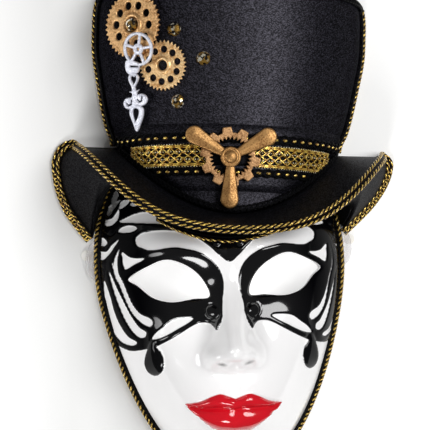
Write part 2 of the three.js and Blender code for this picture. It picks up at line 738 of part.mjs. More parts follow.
const toPlane = ([x, y]) => new THREE.Vector2(x, y);

function crystal() {
  const { radius, height } = CRYSTAL;
  const profile = [[0, 0], [radius * 0.9, 0], [radius, 0.8], [radius * 0.62, height], [0, height]];
  return new THREE.LatheGeometry(profile.map(toPlane), 10).rotateX(Math.PI / 2);
}

// Assembly

function named(name, geometry, colour) {
  const mesh = new THREE.Mesh(geometry, new THREE.MeshStandardMaterial(COLOURS[colour]));
  mesh.name = name;
  return mesh;
}

function facePieces() {
  const group = new THREE.Group();
  group.add(named("face", face(), "whitePlastic"), named("face_edge_braid", faceEdgeBraid(), "braid"));
  group.add(named("hat_brim", hatBrim(), "blackSatin"));
  group.add(named("brim_edge_braid", brimEdgeBraid(), "braid"), named("brim_lower_braid", brimLowerBraid(), "braid"));
  [["left", -1], ["right", 1]].forEach(([word, side]) => {
    group.add(named("tab_" + word, tab(side), "clearPlastic"));
    group.add(named("button_" + word, button(side), "clearPlastic"));
  });
  return group;
}

function hatPieces() {
  const group = new THREE.Group();
  group.applyMatrix4(hatTurn);
  group.add(named("hat_crown", hatCrown(), "blackSatin"));
  group.add(named("ribbon", ribbon(), "blackSatin"), named("lace_band", laceBand(), "goldLace"));
  group.add(named("gimp_upper", gimpUpper(), "blackCord"), named("gimp_lower", gimpLower(), "blackCord"));
  group.add(named("seam_gimp", seamGimp(), "blackCord"), named("crown_top_gimp", crownTopGimp(), "blackCord"));
  group.add(named("crown_braid_left", crownBraid(-1), "braid"));
  group.add(named("crown_braid_right", crownBraid(1), "braid"));
  return group;
}

function charms() {
  const group = new THREE.Group();
  group.applyMatrix4(hatTurn);
  const large = onCrown(LARGE_GEAR.across, LARGE_GEAR.up, GAP);
  const stone = named("gear_crystal", crystal().scale(0.95, 0.95, 1), "crystal");
  stone.position.z = 3.5;
  large.add(named("gear_large", gearLarge(), "tanGold"), stone);
  const small = onCrown(SMALL_GEAR.across, SMALL_GEAR.up, GAP);
  small.add(named("gear_small", gearSmall(), "paleGold"));
  const hand = onCrown(CLOCK_HAND.across, CLOCK_HAND.up, 6, -6.5, 6);
  hand.add(named("clock_hand", clockHand(), "silver"));
  const clear = overRibbon + GIMP.thick + GAP;
  const ring = onCrown(PROPELLER.across, PROPELLER.up, clear, 8.5);
  ring.add(named("cog_ring", cogRing(), "copper"));
  const screw = onCrown(PROPELLER.across, PROPELLER.up, clear + COG_RING.thick + GAP, 0);
  screw.add(named("propeller", propeller(), "bronze"));
  group.add(large, small, hand, ring, screw);
  Object.entries(CRYSTALS).forEach(([place, [across, up]]) => {
    const seat = onCrown(across, up, GAP);
    seat.add(named("crystal_" + place, crystal(), "crystal"));
    group.add(seat);
  });
  return group;
}

const mask = new THREE.Group();
mask.add(facePieces(), hatPieces(), charms());

// The origin is the middle of the whole mask's box in plan, on the plane of the back rim
const box = new THREE.Box3().setFromObject(mask, true);
mask.position.set(-(box.min.x + box.max.x) / 2, -(box.min.y + box.max.y) / 2, -box.min.z);

export default mask;
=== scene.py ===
"""A full-face carnival mask under a cocked half top hat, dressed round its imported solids.

The mask lies on its back rim and the camera looks down on it. Every shape is worked out in millimetres in the
face's own frame: X across the face with its midline at 0, Y towards the hat's crown, Z out of the face with
the back rim at 0. Meshes are moved into the row's frame, in metres, as they are made.
"""

import logging
import math
from collections.abc import Callable
from dataclasses import dataclass, field
from enum import Enum

import bmesh
import bpy
import numpy as np
from mathutils import Matrix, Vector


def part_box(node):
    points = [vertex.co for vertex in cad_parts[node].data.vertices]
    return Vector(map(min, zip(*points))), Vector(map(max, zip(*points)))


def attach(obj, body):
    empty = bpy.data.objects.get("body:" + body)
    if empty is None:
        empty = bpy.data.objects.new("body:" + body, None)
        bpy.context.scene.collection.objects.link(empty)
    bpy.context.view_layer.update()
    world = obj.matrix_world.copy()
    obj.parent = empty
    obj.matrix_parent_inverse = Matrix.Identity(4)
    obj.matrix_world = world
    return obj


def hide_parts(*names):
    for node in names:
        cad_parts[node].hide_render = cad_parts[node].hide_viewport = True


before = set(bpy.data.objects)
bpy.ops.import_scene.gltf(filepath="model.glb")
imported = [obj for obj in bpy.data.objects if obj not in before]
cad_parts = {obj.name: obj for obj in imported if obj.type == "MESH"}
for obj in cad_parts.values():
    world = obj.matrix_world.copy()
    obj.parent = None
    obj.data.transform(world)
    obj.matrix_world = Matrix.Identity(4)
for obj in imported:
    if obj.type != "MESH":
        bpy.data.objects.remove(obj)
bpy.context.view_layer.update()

log = logging.getLogger("mask")
Array = np.ndarray

MM = 1000.0  # mm in a metre
UV_SPAN = 100.0  # mm that one step of a UV map covers
GAP = 0.3  # mm between a trim and what carries it
CHIN = 134.8  # mm from the face's origin down to its rim at the chin
IMAGE_WIDTH = 430  # pixels across the photograph


# Curves and surfaces


def smooth_through(points: tuple, x: Array) -> Array:
    """Reads a smooth curve that passes through the points and never overshoots them.

    Each stretch is the cubic that has the heights and tangents of its two ends. The tangent at a point is
    the harmonic mean of the slopes on its two sides, or level where they differ in sign.

    Args:
        points: pairs (x, y) in rising order of x.
        x: where to read the curve.

    Returns:
        The curve's height at each x, held level beyond its ends.
    """
    xs, ys = np.array(points, float).T
    rise = np.diff(ys) / np.diff(xs)
    before, after = np.r_[rise[0], rise], np.r_[rise, rise[-1]]
    agree = before * after > 0
    tangent = np.where(agree, 2 * before * after / np.where(agree, before + after, 1), 0)
    x = np.clip(x, xs[0], xs[-1])
    i = np.clip(np.searchsorted(xs, x) - 1, 0, len(xs) - 2)
    width = xs[i + 1] - xs[i]
    t = (x - xs[i]) / width
    start = ys[i] * (1 + 2 * t) * (1 - t) ** 2 + tangent[i] * width * t * (1 - t) ** 2
    return start + ys[i + 1] * t * t * (3 - 2 * t) + tangent[i + 1] * width * t * t * (t - 1)


def bump(dx: Array, width: float, dy: Array, height: float) -> Array:
    """A rounded hill of height 1: the exponential of minus the squared offsets in widths."""
    return np.exp(-((dx / width) ** 2) - (dy / height) ** 2)


def curve_through(points: Array, count: int, closed: bool = False) -> Array:
    """Runs a rounded curve through points.

    Each stretch is a cubic whose slope at a point comes from the points before and after it. The knots
    stand the square root of each chord apart, so that the curve stays close to its points where they crowd.

    Args:
        points: (n, d) points in order.
        count: how many points to return, spread evenly over the stretches.
        closed: whether the last point joins the first.

    Returns:
        (count, d) points on the curve.
    """
    p = np.array(points, float)
    if closed:
        p = np.vstack([p[-1], p, p[:2]])
        t = np.linspace(0, len(points), count, endpoint=False)
    else:
        p = np.vstack([2 * p[0] - p[1], p, 2 * p[-1] - p[-2]])
        t = np.linspace(0, len(points) - 1, count)
    i = np.minimum(t.astype(int), len(p) - 4)
    t = (t - i)[:, None]
    a, b, c, d = p[i], p[i + 1], p[i + 2], p[i + 3]
    steps = (b - a, c - b, d - c)
    ab, bc, cd = (np.maximum(np.linalg.norm(step, axis=1)[:, None] ** 0.5, 1e-4) for step in steps)
    start = ((b - a) / ab - (c - a) / (ab + bc) + (c - b) / bc) * bc
    end = ((c - b) / bc - (d - b) / (bc + cd) + (d - c) / cd) * bc
    return b + start * t + (3 * (c - b) - 2 * start - end) * t**2 + (2 * (b - c) + start + end) * t**3


def unit(v: Array) -> Array:
    """The vectors with length 1."""
    return v / np.maximum(np.linalg.norm(v, axis=-1, keepdims=True), 1e-12)


def cos_sin(degrees: float) -> tuple:
    """Cosine and sine of an angle in degrees."""
    return math.cos(math.radians(degrees)), math.sin(math.radians(degrees))


def lengths_along(path: Array) -> Array:
    """The distance from the path's start to each of its points."""
    return np.r_[0, np.cumsum(np.linalg.norm(np.diff(path, axis=0), axis=1))]


def distance_to(outline: Array, x: Array, y: Array) -> Array:
    """Signed distance from points to a closed outline, below 0 inside.

    The distance is the least one to any of the outline's straight steps. A point is inside when a line
    from it crosses the outline an odd number of times. Points well outside keep a large value.

    Args:
        outline: (m, 2) corners in order.
        x: first coordinates of the points.
        y: second coordinates of the points.

    Returns:
        The distances, in the shape of x.
    """
    far, margin = 50.0, 6.0  # mm
    result = np.full(x.shape, far)
    low, high = outline.min(0) - margin, outline.max(0) + margin
    near = (x > low[0]) & (x < high[0]) & (y > low[1]) & (y < high[1])
    px, py = x[near], y[near]
    best = np.full(px.shape, np.inf)
    inside = np.zeros(px.shape, bool)
    for (ax, ay), (bx, by) in zip(outline, np.roll(outline, -1, axis=0)):
        dx, dy = bx - ax, by - ay
        t = np.clip(((px - ax) * dx + (py - ay) * dy) / max(dx * dx + dy * dy, 1e-12), 0, 1)
        best = np.minimum(best, np.hypot(px - ax - t * dx, py - ay - t * dy))
        if ay != by:
            inside ^= ((ay > py) != (by > py)) & (px < ax + (py - ay) * dx / dy)
    result[near] = np.where(inside, -best, best)
    return result


def rounded(points: tuple, count: int = 0) -> Array:
    """A closed rounded outline through the points, with eight steps to each unless a count is given."""
    return curve_through(np.array(points, float), count or 8 * len(points), closed=True)


# Meshes


@dataclass
class Skin:
    """A mesh in the making, in the face's frame: points, faces, finish of each face, and what is marked on it."""

    points: Array
    faces: list
    slots: Array | None = None
    uv: Array | None = None
    marks: dict = field(default_factory=dict)

    def painted(self, slot: int) -> "Skin":
        """The same skin with one finish all over."""
        return Skin(self.points, self.faces, np.full(len(self.faces), slot), self.uv, self.marks)


def joined(skins: list) -> Skin:
    """One skin out of several, with their finishes kept and their UVs side by side.

    Args:
        skins: the skins, each with its own points and faces.

    Returns:
        The skin that holds them all.
    """
    offset, points, faces, slots, uvs = 0, [], [], [], []
    for skin in skins:
        points.append(skin.points)
        faces += [tuple(v + offset for v in f) for f in skin.faces]
        slots.append(np.zeros(len(skin.faces), int) if skin.slots is None else skin.slots)
        uvs.append(skin.points[:, :2] if skin.uv is None else skin.uv)
        offset += len(skin.points)
    return Skin(np.vstack(points), faces, np.concatenate(slots), np.vstack(uvs))


def grid_faces(rows: int, columns: int, ring: bool = False, start: int = 0, flip: bool = False) -> Array:
    """Four-sided faces between neighbouring points of a grid that is stored row by row.

    Args:
        rows: how many rows the grid has.
        columns: points in each row.
        ring: whether the last row meets the first.
        start: index of the grid's first point.
        flip: whether the faces look the other way.

    Returns:
        (n, 4) corners of the faces.
    """
    i = np.arange(rows if ring else rows - 1)[:, None]
    j = np.arange(columns - 1)[None, :]
    k = (i + 1) % rows
    corners = [i * columns + j, k * columns + j, k * columns + j + 1, i * columns + j + 1]
    quads = np.stack([np.broadcast_to(c, (len(i), columns - 1)) for c in corners], -1).reshape(-1, 4) + start
    return quads[:, ::-1] if flip else quads


def wall(outer: Array, inner: Array, ring: bool = False, uv: Array | None = None) -> Skin:
    """A closed wall between two grids of points: both surfaces, and strips that join their borders.

    Args:
        outer: (rows, columns, 3) points of the shown surface.
        inner: the same number of points behind them.
        ring: whether the last row meets the first.
        uv: (rows, columns, 2) texture places in mm.

    Returns:
        The wall's skin.
    """
    rows, columns = outer.shape[:2]
    count = rows * columns
    faces = [grid_faces(rows, columns, ring), grid_faces(rows, columns, ring, count, flip=True)]
    border = np.arange(rows) * columns
    edges = [(border, False), (border + columns - 1, True)]
    if not ring:
        edges += [(np.arange(columns), True), (np.arange(columns) + (rows - 1) * columns, False)]
    for line, flip in edges:
        a, b = (line, np.roll(line, -1)) if ring else (line[:-1], line[1:])
        strip = np.stack([a, a + count, b + count, b], -1)
        faces.append(strip[:, ::-1] if flip else strip)
    uvs = None if uv is None else np.tile(uv.reshape(-1, 2), (2, 1))
    return Skin(np.vstack([outer.reshape(-1, 3), inner.reshape(-1, 3)]), np.vstack(faces).tolist(), uv=uvs)


def tube(path: Array, radius: float | Array, out: Array, sides: int = 6, closed: bool = False) -> Skin:
    """A cord: a circle carried along a path, with its ends drawn to points.

    Args:
        path: (n, 3) centres.
        radius: the circle's radius, one for all or one for each centre.
        out: (n, 3) directions that keep the circle from turning; each is squared to the path.
        sides: corners of the circle.
        closed: whether the path's end meets its start.

    Returns:
        The cord's skin, with UVs in mm along and round it.
    """
    along = unit(np.roll(path, -1, axis=0) - np.roll(path, 1, axis=0) if closed else np.gradient(path, axis=0))
    up = unit(out - (out * along).sum(-1, keepdims=True) * along)
    side = np.cross(along, up)
    angle = np.arange(sides) / sides * 2 * math.pi
    r = np.broadcast_to(np.asarray(radius, float), len(path)).copy()
    if not closed:
        path = np.vstack([path[0] - along[0] * r[0] * 0.3, path, path[-1] + along[-1] * r[-1] * 0.3])
        up, side = np.vstack([up[0], up, up[-1]]), np.vstack([side[0], side, side[-1]])
        r = np.r_[0, r, 0]
    ring = np.cos(angle)[None, :, None] * up[:, None] + np.sin(angle)[None, :, None] * side[:, None]
    points = (path[:, None] + r[:, None, None] * ring).transpose(1, 0, 2)
    n = len(path)
    faces = grid_faces(sides, n + 1 if closed else n, ring=True)
    if closed:
        points = np.concatenate([points, points[:, :1]], 1)
        n += 1
    length = lengths_along(points.mean(0))
    uv = np.stack(np.broadcast_arrays(length[None, :], (angle * r.mean())[:, None]), -1).reshape(-1, 2)
    return Skin(points.reshape(-1, 3), faces.tolist(), uv=uv)


def turned(profile: Array, sides: int, centre: Array, axes: Array) -> Skin:
    """A round piece: a profile of (radius, height) carried round an axis.

    Args:
        profile: (n, 2) radius and height in mm, from the bottom to the top.
        sides: steps round the axis.
        centre: the axis's foot.
        axes: (3, 3) rows that hold the directions right, up and out; the axis runs out.

    Returns:
        The piece's skin.
    """
    angle = np.arange(sides) / sides * 2 * math.pi
    flat = np.stack([np.cos(angle), np.sin(angle)], -1) @ axes[:2]
    points = centre + profile[None, :, :1] * flat[:, None] + profile[None, :, 1:] * axes[2]
    return Skin(points.reshape(-1, 3), grid_faces(sides, len(profile), ring=True).tolist())


def beads(centres: Array, axes: Array, radii: tuple, sides: int = 8, rings: int = 5) -> Skin:
    """Ellipsoids at many places.

    Args:
        centres: (n, 3) middles.
        axes: (n, 3, 3) each one's directions as rows.
        radii: half sizes along the three directions.
        sides: steps round each.
        rings: steps from pole to pole.

    Returns:
        One skin of all of them.
    """
    lat, lon = np.meshgrid(np.linspace(0, math.pi, rings), np.arange(sides) / sides * 2 * math.pi)
    ball = np.stack([np.cos(lon) * np.sin(lat), np.sin(lon) * np.sin(lat), np.cos(lat)], -1)
    ball = ball.reshape(-1, 3) * np.array(radii)
    points = centres[:, None] + np.einsum("pk,nkd->npd", ball, axes)
    face = grid_faces(sides, rings, ring=True)
    faces = (face[None] + (np.arange(len(centres)) * len(ball))[:, None, None]).reshape(-1, 4)
    return Skin(points.reshape(-1, 3), faces.tolist())


def trimmed(triangles: Array, level: Array, values: list) -> tuple:
    """Cuts a triangle mesh along the line where a value at its points passes 0, and keeps what lies below.

    A triangle with one corner below keeps a smaller triangle, one with two keeps a four-sided piece cut in
    two. New points stand where the value is 0 on each cut edge.

    Args:
        triangles: (n, 3) corners.
        level: the value at each point.
        values: arrays of what else is known at each point, carried to the new ones.

    Returns:
        The kept triangles, and the values with the new points added.
    """
    below = level < 0
    count = below[triangles].sum(1)
    edges = np.vstack([triangles[:, [0, 1]], triangles[:, [1, 2]], triangles[:, [2, 0]]])
    edges = np.unique(np.sort(edges[below[edges[:, 0]] != below[edges[:, 1]]], axis=1), axis=0)
    share = level[edges[:, 0]] / (level[edges[:, 0]] - level[edges[:, 1]])
    grown = []
    for value in values:
        w = share.reshape((-1,) + (1,) * (value.ndim - 1))
        grown.append(np.concatenate([value, value[edges[:, 0]] * (1 - w) + value[edges[:, 1]] * w]))
    size = len(level)
    keys = edges[:, 0] * size + edges[:, 1]

    def cut(a: Array, b: Array) -> Array:
        """Indices of the new points on the edges between two lists of corners."""
        return size + np.searchsorted(keys, np.minimum(a, b) * size + np.maximum(a, b))

    kept = [triangles[count == 3]]
    for wanted in (1, 2):
        some = triangles[count == wanted]
        odd = np.argmax(below[some] == (wanted == 1), axis=1)
        a, b, c = (some[np.arange(len(some)), (odd + k) % 3] for k in range(3))
        ab, ca = cut(a, b), cut(a, c)
        if wanted == 1:
            kept.append(np.stack([a, ab, ca], -1))
        else:
            kept += [np.stack([ab, b, c], -1), np.stack([ab, c, ca], -1)]
    return np.vstack(kept), grown


def open_edges(triangles: Array) -> Array:
    """The edges that only one triangle has.

    Args:
        triangles: (n, 3) corners.

    Returns:
        (m, 2) ends of the edges, in their triangle's direction.
    """
    edges = np.vstack([triangles[:, [0, 1]], triangles[:, [1, 2]], triangles[:, [2, 0]]])
    size = edges.max() + 1
    own, back = edges[:, 0] * size + edges[:, 1], edges[:, 1] * size + edges[:, 0]
    return edges[~np.isin(own, back)]


def two_sided(triangles: Array, top: Array, bottom: Array) -> Skin:
    """A closed piece out of one cut mesh: its top, its bottom and a strip along each open edge.

    Args:
        triangles: (n, 3) corners of the cut mesh.
        top: its points on the shown side.
        bottom: the same points on the hidden side.

    Returns:
        The piece's skin.
    """
    count = len(top)
    edges = open_edges(triangles)
    strip = np.stack([edges[:, 1], edges[:, 0], edges[:, 0] + count, edges[:, 1] + count], -1)
    faces = triangles.tolist() + (triangles[:, ::-1] + count).tolist() + strip.tolist()
    return Skin(np.vstack([top, bottom]), faces)


def row_shift() -> Array:
    """What moves the face's frame to the row's, in mm: the face's node is even about its midline."""
    low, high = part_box("face")
    return np.array([(low.x + high.x) / 2 * MM, low.y * MM + CHIN, 0.0])


SHIFT = row_shift()


def make_piece(
    name: str, skin: Skin, finishes: list, node: str, flat: bool = False
) -> bpy.types.Object:
    """Makes a skin a Blender object that rides on the mask.

    Args:
        name: the object's name.
        skin: its mesh in the face's frame, in mm.
        finishes: its materials, in the order of the skin's slots.
        node: the CAD node that it stands for.
        flat: whether its facets stay sharp.

    Returns:
        The object.
    """
    mesh = bpy.data.meshes.new(name)
    mesh.from_pydata(((skin.points + SHIFT) / MM).tolist(), [], skin.faces)
    if skin.uv is not None:
        layer = mesh.uv_layers.new(name="mm")
        index = np.empty(len(mesh.loops), int)
        mesh.loops.foreach_get("vertex_index", index)
        layer.data.foreach_set("uv", (skin.uv[index] / UV_SPAN).astype(np.float32).ravel())
    for mark, value in skin.marks.items():
        mesh.attributes.new(mark, "FLOAT", "POINT").data.foreach_set("value", value.astype(np.float32))
    if skin.slots is not None:
        mesh.polygons.foreach_set("material_index", skin.slots.astype(np.int32))
    mesh.polygons.foreach_set("use_smooth", np.full(len(mesh.polygons), not flat))
    turn_outward(mesh)
    for finish in finishes:
        mesh.materials.append(finish)
    piece = bpy.data.objects.new(name, mesh)
    bpy.context.scene.collection.objects.link(piece)
    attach(piece, "root")
    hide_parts(node)
    log.info("%s: %d faces, stands for %s", name, len(mesh.polygons), node)
    return piece


def turn_outward(mesh: bpy.types.Mesh) -> None:
    """Merges doubled points, drops empty faces, and turns the faces out by the sign of the enclosed volume.

    Args:
        mesh: the mesh that is mended in place.
    """
    same, empty = 1e-7, 1e-8  # m
    work = bmesh.new()
    work.from_mesh(mesh)
    bmesh.ops.remove_doubles(work, verts=work.verts, dist=same)
    bmesh.ops.dissolve_degenerate(work, edges=work.edges, dist=empty)
    if work.calc_volume(signed=True) < 0:
        bmesh.ops.reverse_faces(work, faces=work.faces)
    work.to_mesh(mesh)
    work.free()
    mesh.update()


# Finishes


COLOURS = {"data_type": "RGBA"}  # makes a Mix node mix colours, with inputs 6 and 7 and output 2


def linear(code: str) -> tuple:
    """A colour for a shader: sRGB hex to linear, by the standard curve."""
    values = [int(code[i : i + 2], 16) / 255 for i in (0, 2, 4)]
    return (*(v / 12.92 if v <= 0.04045 else ((v + 0.055) / 1.055) ** 2.4 for v in values), 1.0)


def fill(node: bpy.types.Node, **inputs: object) -> None:
    """Gives a node's inputs their values and links.

    Args:
        node: the node.
        inputs: sockets by name, with _ for a space, or by number after "i"; each a value, an output socket, or
            a node for its first output.
    """
    for key, value in inputs.items():
        name = int(key[1:]) if key[0] == "i" and key[1:].isdigit() else key.replace("_", " ")
        value = value.outputs[0] if isinstance(value, bpy.types.Node) else value
        if isinstance(value, bpy.types.NodeSocket):
            node.id_data.links.new(value, node.inputs[name])
        else:
            node.inputs[name].default_value = value


def add_node(
    tree: bpy.types.NodeTree, kind: str, settings: dict | None = None, **inputs: object
) -> bpy.types.Node:
    """Adds a node to a material.

    Args:
        tree: the material's node tree.
        kind: the node's type without its "ShaderNode".
        settings: the node's own properties.
        inputs: what fill takes.

    Returns:
        The node.
    """
    node = tree.nodes.new("ShaderNode" + kind)
    for key, value in (settings or {}).items():
        setattr(node, key, value)
    fill(node, **inputs)
    return node


def new_material(name: str) -> tuple:
    """Makes a material that is a plain shader as yet.

    Args:
        name: the material's name.

    Returns:
        The material, its node tree, its shader, and the sockets that give the piece's own coordinates.
    """
    material = bpy.data.materials.new(name)
    material.use_nodes = True
    tree = material.node_tree
    tree.nodes.clear()
    shader = add_node(tree, "BsdfPrincipled")
    output = add_node(tree, "OutputMaterial", Surface=shader)
    output.is_active_output = True
    return material, tree, shader, add_node(tree, "TexCoord").outputs


@dataclass(frozen=True)
class MouldedFace:
    """PVC, vacuum-formed and spray-coated: glossy white, black enamel brushed on the raised lines, red lips."""

    white: str = "fbfafa"
    black: str = "050507"
    red: str = "dc0f22"
    deep_red: str = "c40d1d"
    brush: tuple = (0.06, -0.18)  # mm over which the black's edge fades
    soft_brush: tuple = (0.1, -0.3)  # mm, the same for the lips
    varnish: float = 0.6
    blush: float = 11.111  # mm over which the red is uneven
    peel: float = 3.0303  # mm from crest to crest of the coat's orange peel

    def material(self) -> bpy.types.Material:
        """Colours by the marks for ink and lips, both distances in mm that are below 0 where the paint lies.

        The mark "dull" runs from 0 to 1 at the rim, where the sprayed coat is thin and less glossy.

        Returns:
            The material.
        """
        material, tree, shader, place = new_material("moulded PVC, enamelled")
        ink, lips, dull = (add_node(tree, "Attribute", {"attribute_name": mark}) for mark in ("ink", "lips", "dull"))
        # The ink mark also brings the nostril slits to grey, which is painted shade
        inked = add_node(tree, "MapRange", i0=ink.outputs["Fac"], i1=self.brush[0], i2=self.brush[1])
        soft = self.soft_brush
        rouged = add_node(tree, "MapRange", i0=lips.outputs["Fac"], i1=soft[0], i2=soft[1])
        shade = add_node(tree, "TexNoise", Vector=place["Object"], Scale=MM / self.blush, Detail=2.0)
        red = add_node(tree, "Mix", COLOURS, i0=shade, i6=linear(self.red), i7=linear(self.deep_red))
        skin = add_node(tree, "Mix", COLOURS, i0=rouged, i6=linear(self.white), i7=red.outputs[2])
        colour = add_node(tree, "Mix", COLOURS, i0=inked, i6=skin.outputs[2], i7=linear(self.black))
        gloss = add_node(tree, "MapRange", i0=dull.outputs["Fac"], i3=1.5, i4=1.06)
        varnish = add_node(tree, "MapRange", i0=dull.outputs["Fac"], i3=self.varnish, i4=0.0)
        peel = add_node(tree, "TexNoise", Vector=place["Object"], Scale=MM / self.peel, Detail=1.0)
        relief = add_node(tree, "Bump", Height=peel, Strength=0.06, Distance=0.0004)
        fill(shader, Base_Color=colour.outputs[2], IOR=gloss, Coat_Weight=varnish)
        fill(shader, Roughness=0.12, Specular_IOR_Level=0.4, Coat_Roughness=0.04, Normal=relief)
        return material


@dataclass(frozen=True)
class Satin:
    """Polyester satin over a formed shell: near-black, a long soft sheen, and painted glints of single floats in its
    colour.
    """

    colour: str = "08080a"
    # Colour of the painted glints, mixed into the brightest cells
    painted_glint: str = "2c2b34"
    thread: float = 0.44  # mm between glints, coarser than the real thread so that they show
    shine: float = 0.29
    sides: float = 0.08  # share of the shine that is left where the cloth wraps round the sides

    def material(self, name: str) -> bpy.types.Material:
        """Weave from the piece's own UV, which is laid out in tenths of a metre.

        Floats catch the light in short streaks, on the slant and longer along the cloth than across it; each is a
        painted glint, a lighter colour, as well as a higher specular level.
        Cloth pulled round the sides is stretched and shines less.

        Args:
            name: the material's name.

        Returns:
            The material.
        """
        material, tree, shader, place = new_material(name)
        scale = (0.8 * UV_SPAN / self.thread, 1.3 * UV_SPAN / self.thread, 1)
        weave = add_node(tree, "Mapping", Vector=place["UV"], Rotation=(0, 0, 0.5), Scale=scale)
        cells = add_node(tree, "TexVoronoi", {"voronoi_dimensions": "2D"}, Vector=weave, Scale=1.0)
        floats = add_node(tree, "SeparateColor", i0=cells.outputs["Color"])
        # Painted glints: the brightest cells take the lighter glint colour
        painted_glint = add_node(tree, "MapRange", i0=floats, i1=0.55, i2=1.0)
        colour = add_node(tree, "Mix", COLOURS, i0=painted_glint, i6=linear(self.colour), i7=linear(self.painted_glint))
        least, most = self.shine * 0.5, self.shine * 2.5
        shine = add_node(tree, "MapRange", i0=floats, i1=0.25, i2=1.0, i3=least, i4=most)
        along = add_node(tree, "SeparateXYZ", Vector=place["UV"])
        aside = add_node(tree, "Math", {"operation": "ABSOLUTE"}, i0=along)
        worn = add_node(tree, "MapRange", i0=aside, i1=0.2, i2=0.78, i3=1.0, i4=self.sides)
        level = add_node(tree, "Math", {"operation": "MULTIPLY"}, i0=shine, i1=worn)
        index = add_node(tree, "MapRange", i0=worn, i3=1.1, i4=1.5)
        pull = add_node(tree, "TexNoise", {"noise_dimensions": "2D"}, Vector=weave, Scale=0.6, Detail=2.0)
        relief = add_node(tree, "Bump", Height=pull, Strength=0.25, Distance=0.0002)
        # The middle values stay under the links, for an export that drops them
        fill(shader, IOR=1.4, Specular_IOR_Level=self.shine)
        fill(shader, IOR=index, Specular_IOR_Level=level, Specular_Tint=linear("f0ecff"))
        fill(shader, Base_Color=colour.outputs[2], Roughness=0.54, Normal=relief)
        return material


@dataclass(frozen=True)
class Thread:
    """Spun or metallised yarn: fine plies slanting round a cord, in painted shade where they dive and bright on top.
    """

    name: str
    colour: str
    # Colour of the painted shade where the plies dive, and of the darker worn spots
    shade: str
    metallic: float = 0.0
    roughness: float = 0.6
    ply: float = 0.55  # mm between plies
    shine: float = 0.5
    dark: float = 0.05  # how much of the yarn lies in shade
    film: float = 0.0  # clear lacquer over metallised film, which sparkles white
    wear: float = 1.1111  # mm across a worn spot

    def material(self) -> bpy.types.Material:
        """Plies from the cord's own UV, along and round it in tenths of a metre. The colour runs from the painted
        shade, where a ply dives or a worn spot lies, to the bright colour on a ply's crest.

        Returns:
            The material.
        """
        material, tree, shader, place = new_material(self.name)
        scale = (UV_SPAN / self.ply, UV_SPAN / self.ply, 1)
        turn = add_node(tree, "Mapping", Vector=place["UV"], Rotation=(0, 0, 0.9), Scale=scale)
        plies = add_node(tree, "TexWave", {"wave_type": "BANDS"}, Vector=turn, Scale=0.16, Distortion=1.0)
        wear = add_node(tree, "TexNoise", Vector=place["Object"], Scale=MM / self.wear, Detail=2.0)
        mixed = add_node(tree, "Math", {"operation": "MULTIPLY"}, i0=plies.outputs[1], i1=wear)
        # Painted shade: the plies' grooves and the worn spots take the shade colour, the crests the bright one
        share = add_node(tree, "MapRange", i0=mixed, i1=self.dark, i2=self.dark + 0.3)
        colour = add_node(tree, "Mix", COLOURS, i0=share, i6=linear(self.shade), i7=linear(self.colour))
        relief = add_node(tree, "Bump", Height=mixed, Strength=0.75, Distance=0.00025)
        fill(shader, Base_Color=colour.outputs[2], Roughness=self.roughness, Metallic=self.metallic)
        fill(shader, IOR=1.5 if self.metallic else 1.25, Specular_IOR_Level=self.shine, Normal=relief)
        fill(shader, Coat_Weight=self.film, Coat_Roughness=0.12)
        return material


@dataclass(frozen=True)
class AgedMetal:
    """Die-cast zinc alloy with a plated and rubbed-back finish: mottled, grainy, darker in the hollows."""

    name: str
    colour: str
    patina: str
    roughness: float = 0.45
    metallic: float = 0.85
    grain: float = 0.8  # mm
    mottle: float = 6.25  # mm

    def material(self) -> bpy.types.Material:
        """Speckle of the grain's size over broad mottle, from the piece's own coordinates.

        Returns:
            The material.
        """
        material, tree, shader, place = new_material(self.name)
        where = place["Object"]
        speck = add_node(tree, "TexNoise", Vector=where, Scale=MM / self.grain, Detail=2.0, Roughness=0.65)
        mottle = add_node(tree, "TexNoise", Vector=where, Scale=MM / self.mottle, Detail=3.0)
        broad = add_node(tree, "Math", {"operation": "MULTIPLY"}, i0=mottle, i1=0.4)
        both = add_node(tree, "Math", {"operation": "MULTIPLY_ADD"}, i0=speck, i1=0.6, i2=broad)
        share = add_node(tree, "MapRange", i0=both, i1=0.36, i2=0.56)
        colour = add_node(tree, "Mix", COLOURS, i0=share, i6=linear(self.patina), i7=linear(self.colour))
        dull, rubbed = self.roughness + 0.12, self.roughness - 0.08
        rough = add_node(tree, "MapRange", i0=speck, i1=0.3, i2=0.7, i3=dull, i4=rubbed)
        relief = add_node(tree, "Bump", Height=speck, Strength=0.45, Distance=0.00025)
        fill(shader, Base_Color=colour.outputs[2], Metallic=self.metallic)
        fill(shader, Roughness=rough, Normal=relief)
        return material


@dataclass(frozen=True)
class FoiledCrystal:
    """Faceted acrylic with gold foil behind it, under a hard clear face: its bright and dark facets are painted
    highlights and painted shadow in its colour.
    """

    facet: float = 1.3158  # mm
    shadow: str = "0d0905"
    foil: str = "b98f3e"
    painted_sparkle: str = "fff8e2"

    def material(self) -> bpy.types.Material:
        """Facet tones from cells in the piece's own coordinates: each cell is painted shadow, foil gold or a painted
        sparkle.

        Returns:
            The material.
        """
        material, tree, shader, place = new_material("foil-backed acrylic")
        cells = add_node(tree, "TexVoronoi", Vector=place["Object"], Scale=MM / self.facet)
        tone = add_node(tree, "SeparateColor", i0=cells.outputs["Color"])
        # Painted shadow on the darkest cells, painted sparkle on the palest
        dark = add_node(tree, "MapRange", i0=tone, i1=0.3, i2=0.45)
        pale = add_node(tree, "MapRange", i0=tone, i1=0.7, i2=0.8)
        foil = add_node(tree, "Mix", COLOURS, i0=dark, i6=linear(self.shadow), i7=linear(self.foil))
        colour = add_node(tree, "Mix", COLOURS, i0=pale, i6=foil.outputs[2], i7=linear(self.painted_sparkle))
        fill(shader, Base_Color=colour.outputs[2], Metallic=0.75, Roughness=0.16)
        fill(shader, Coat_Weight=1.0, Coat_Roughness=0.02)
        return material


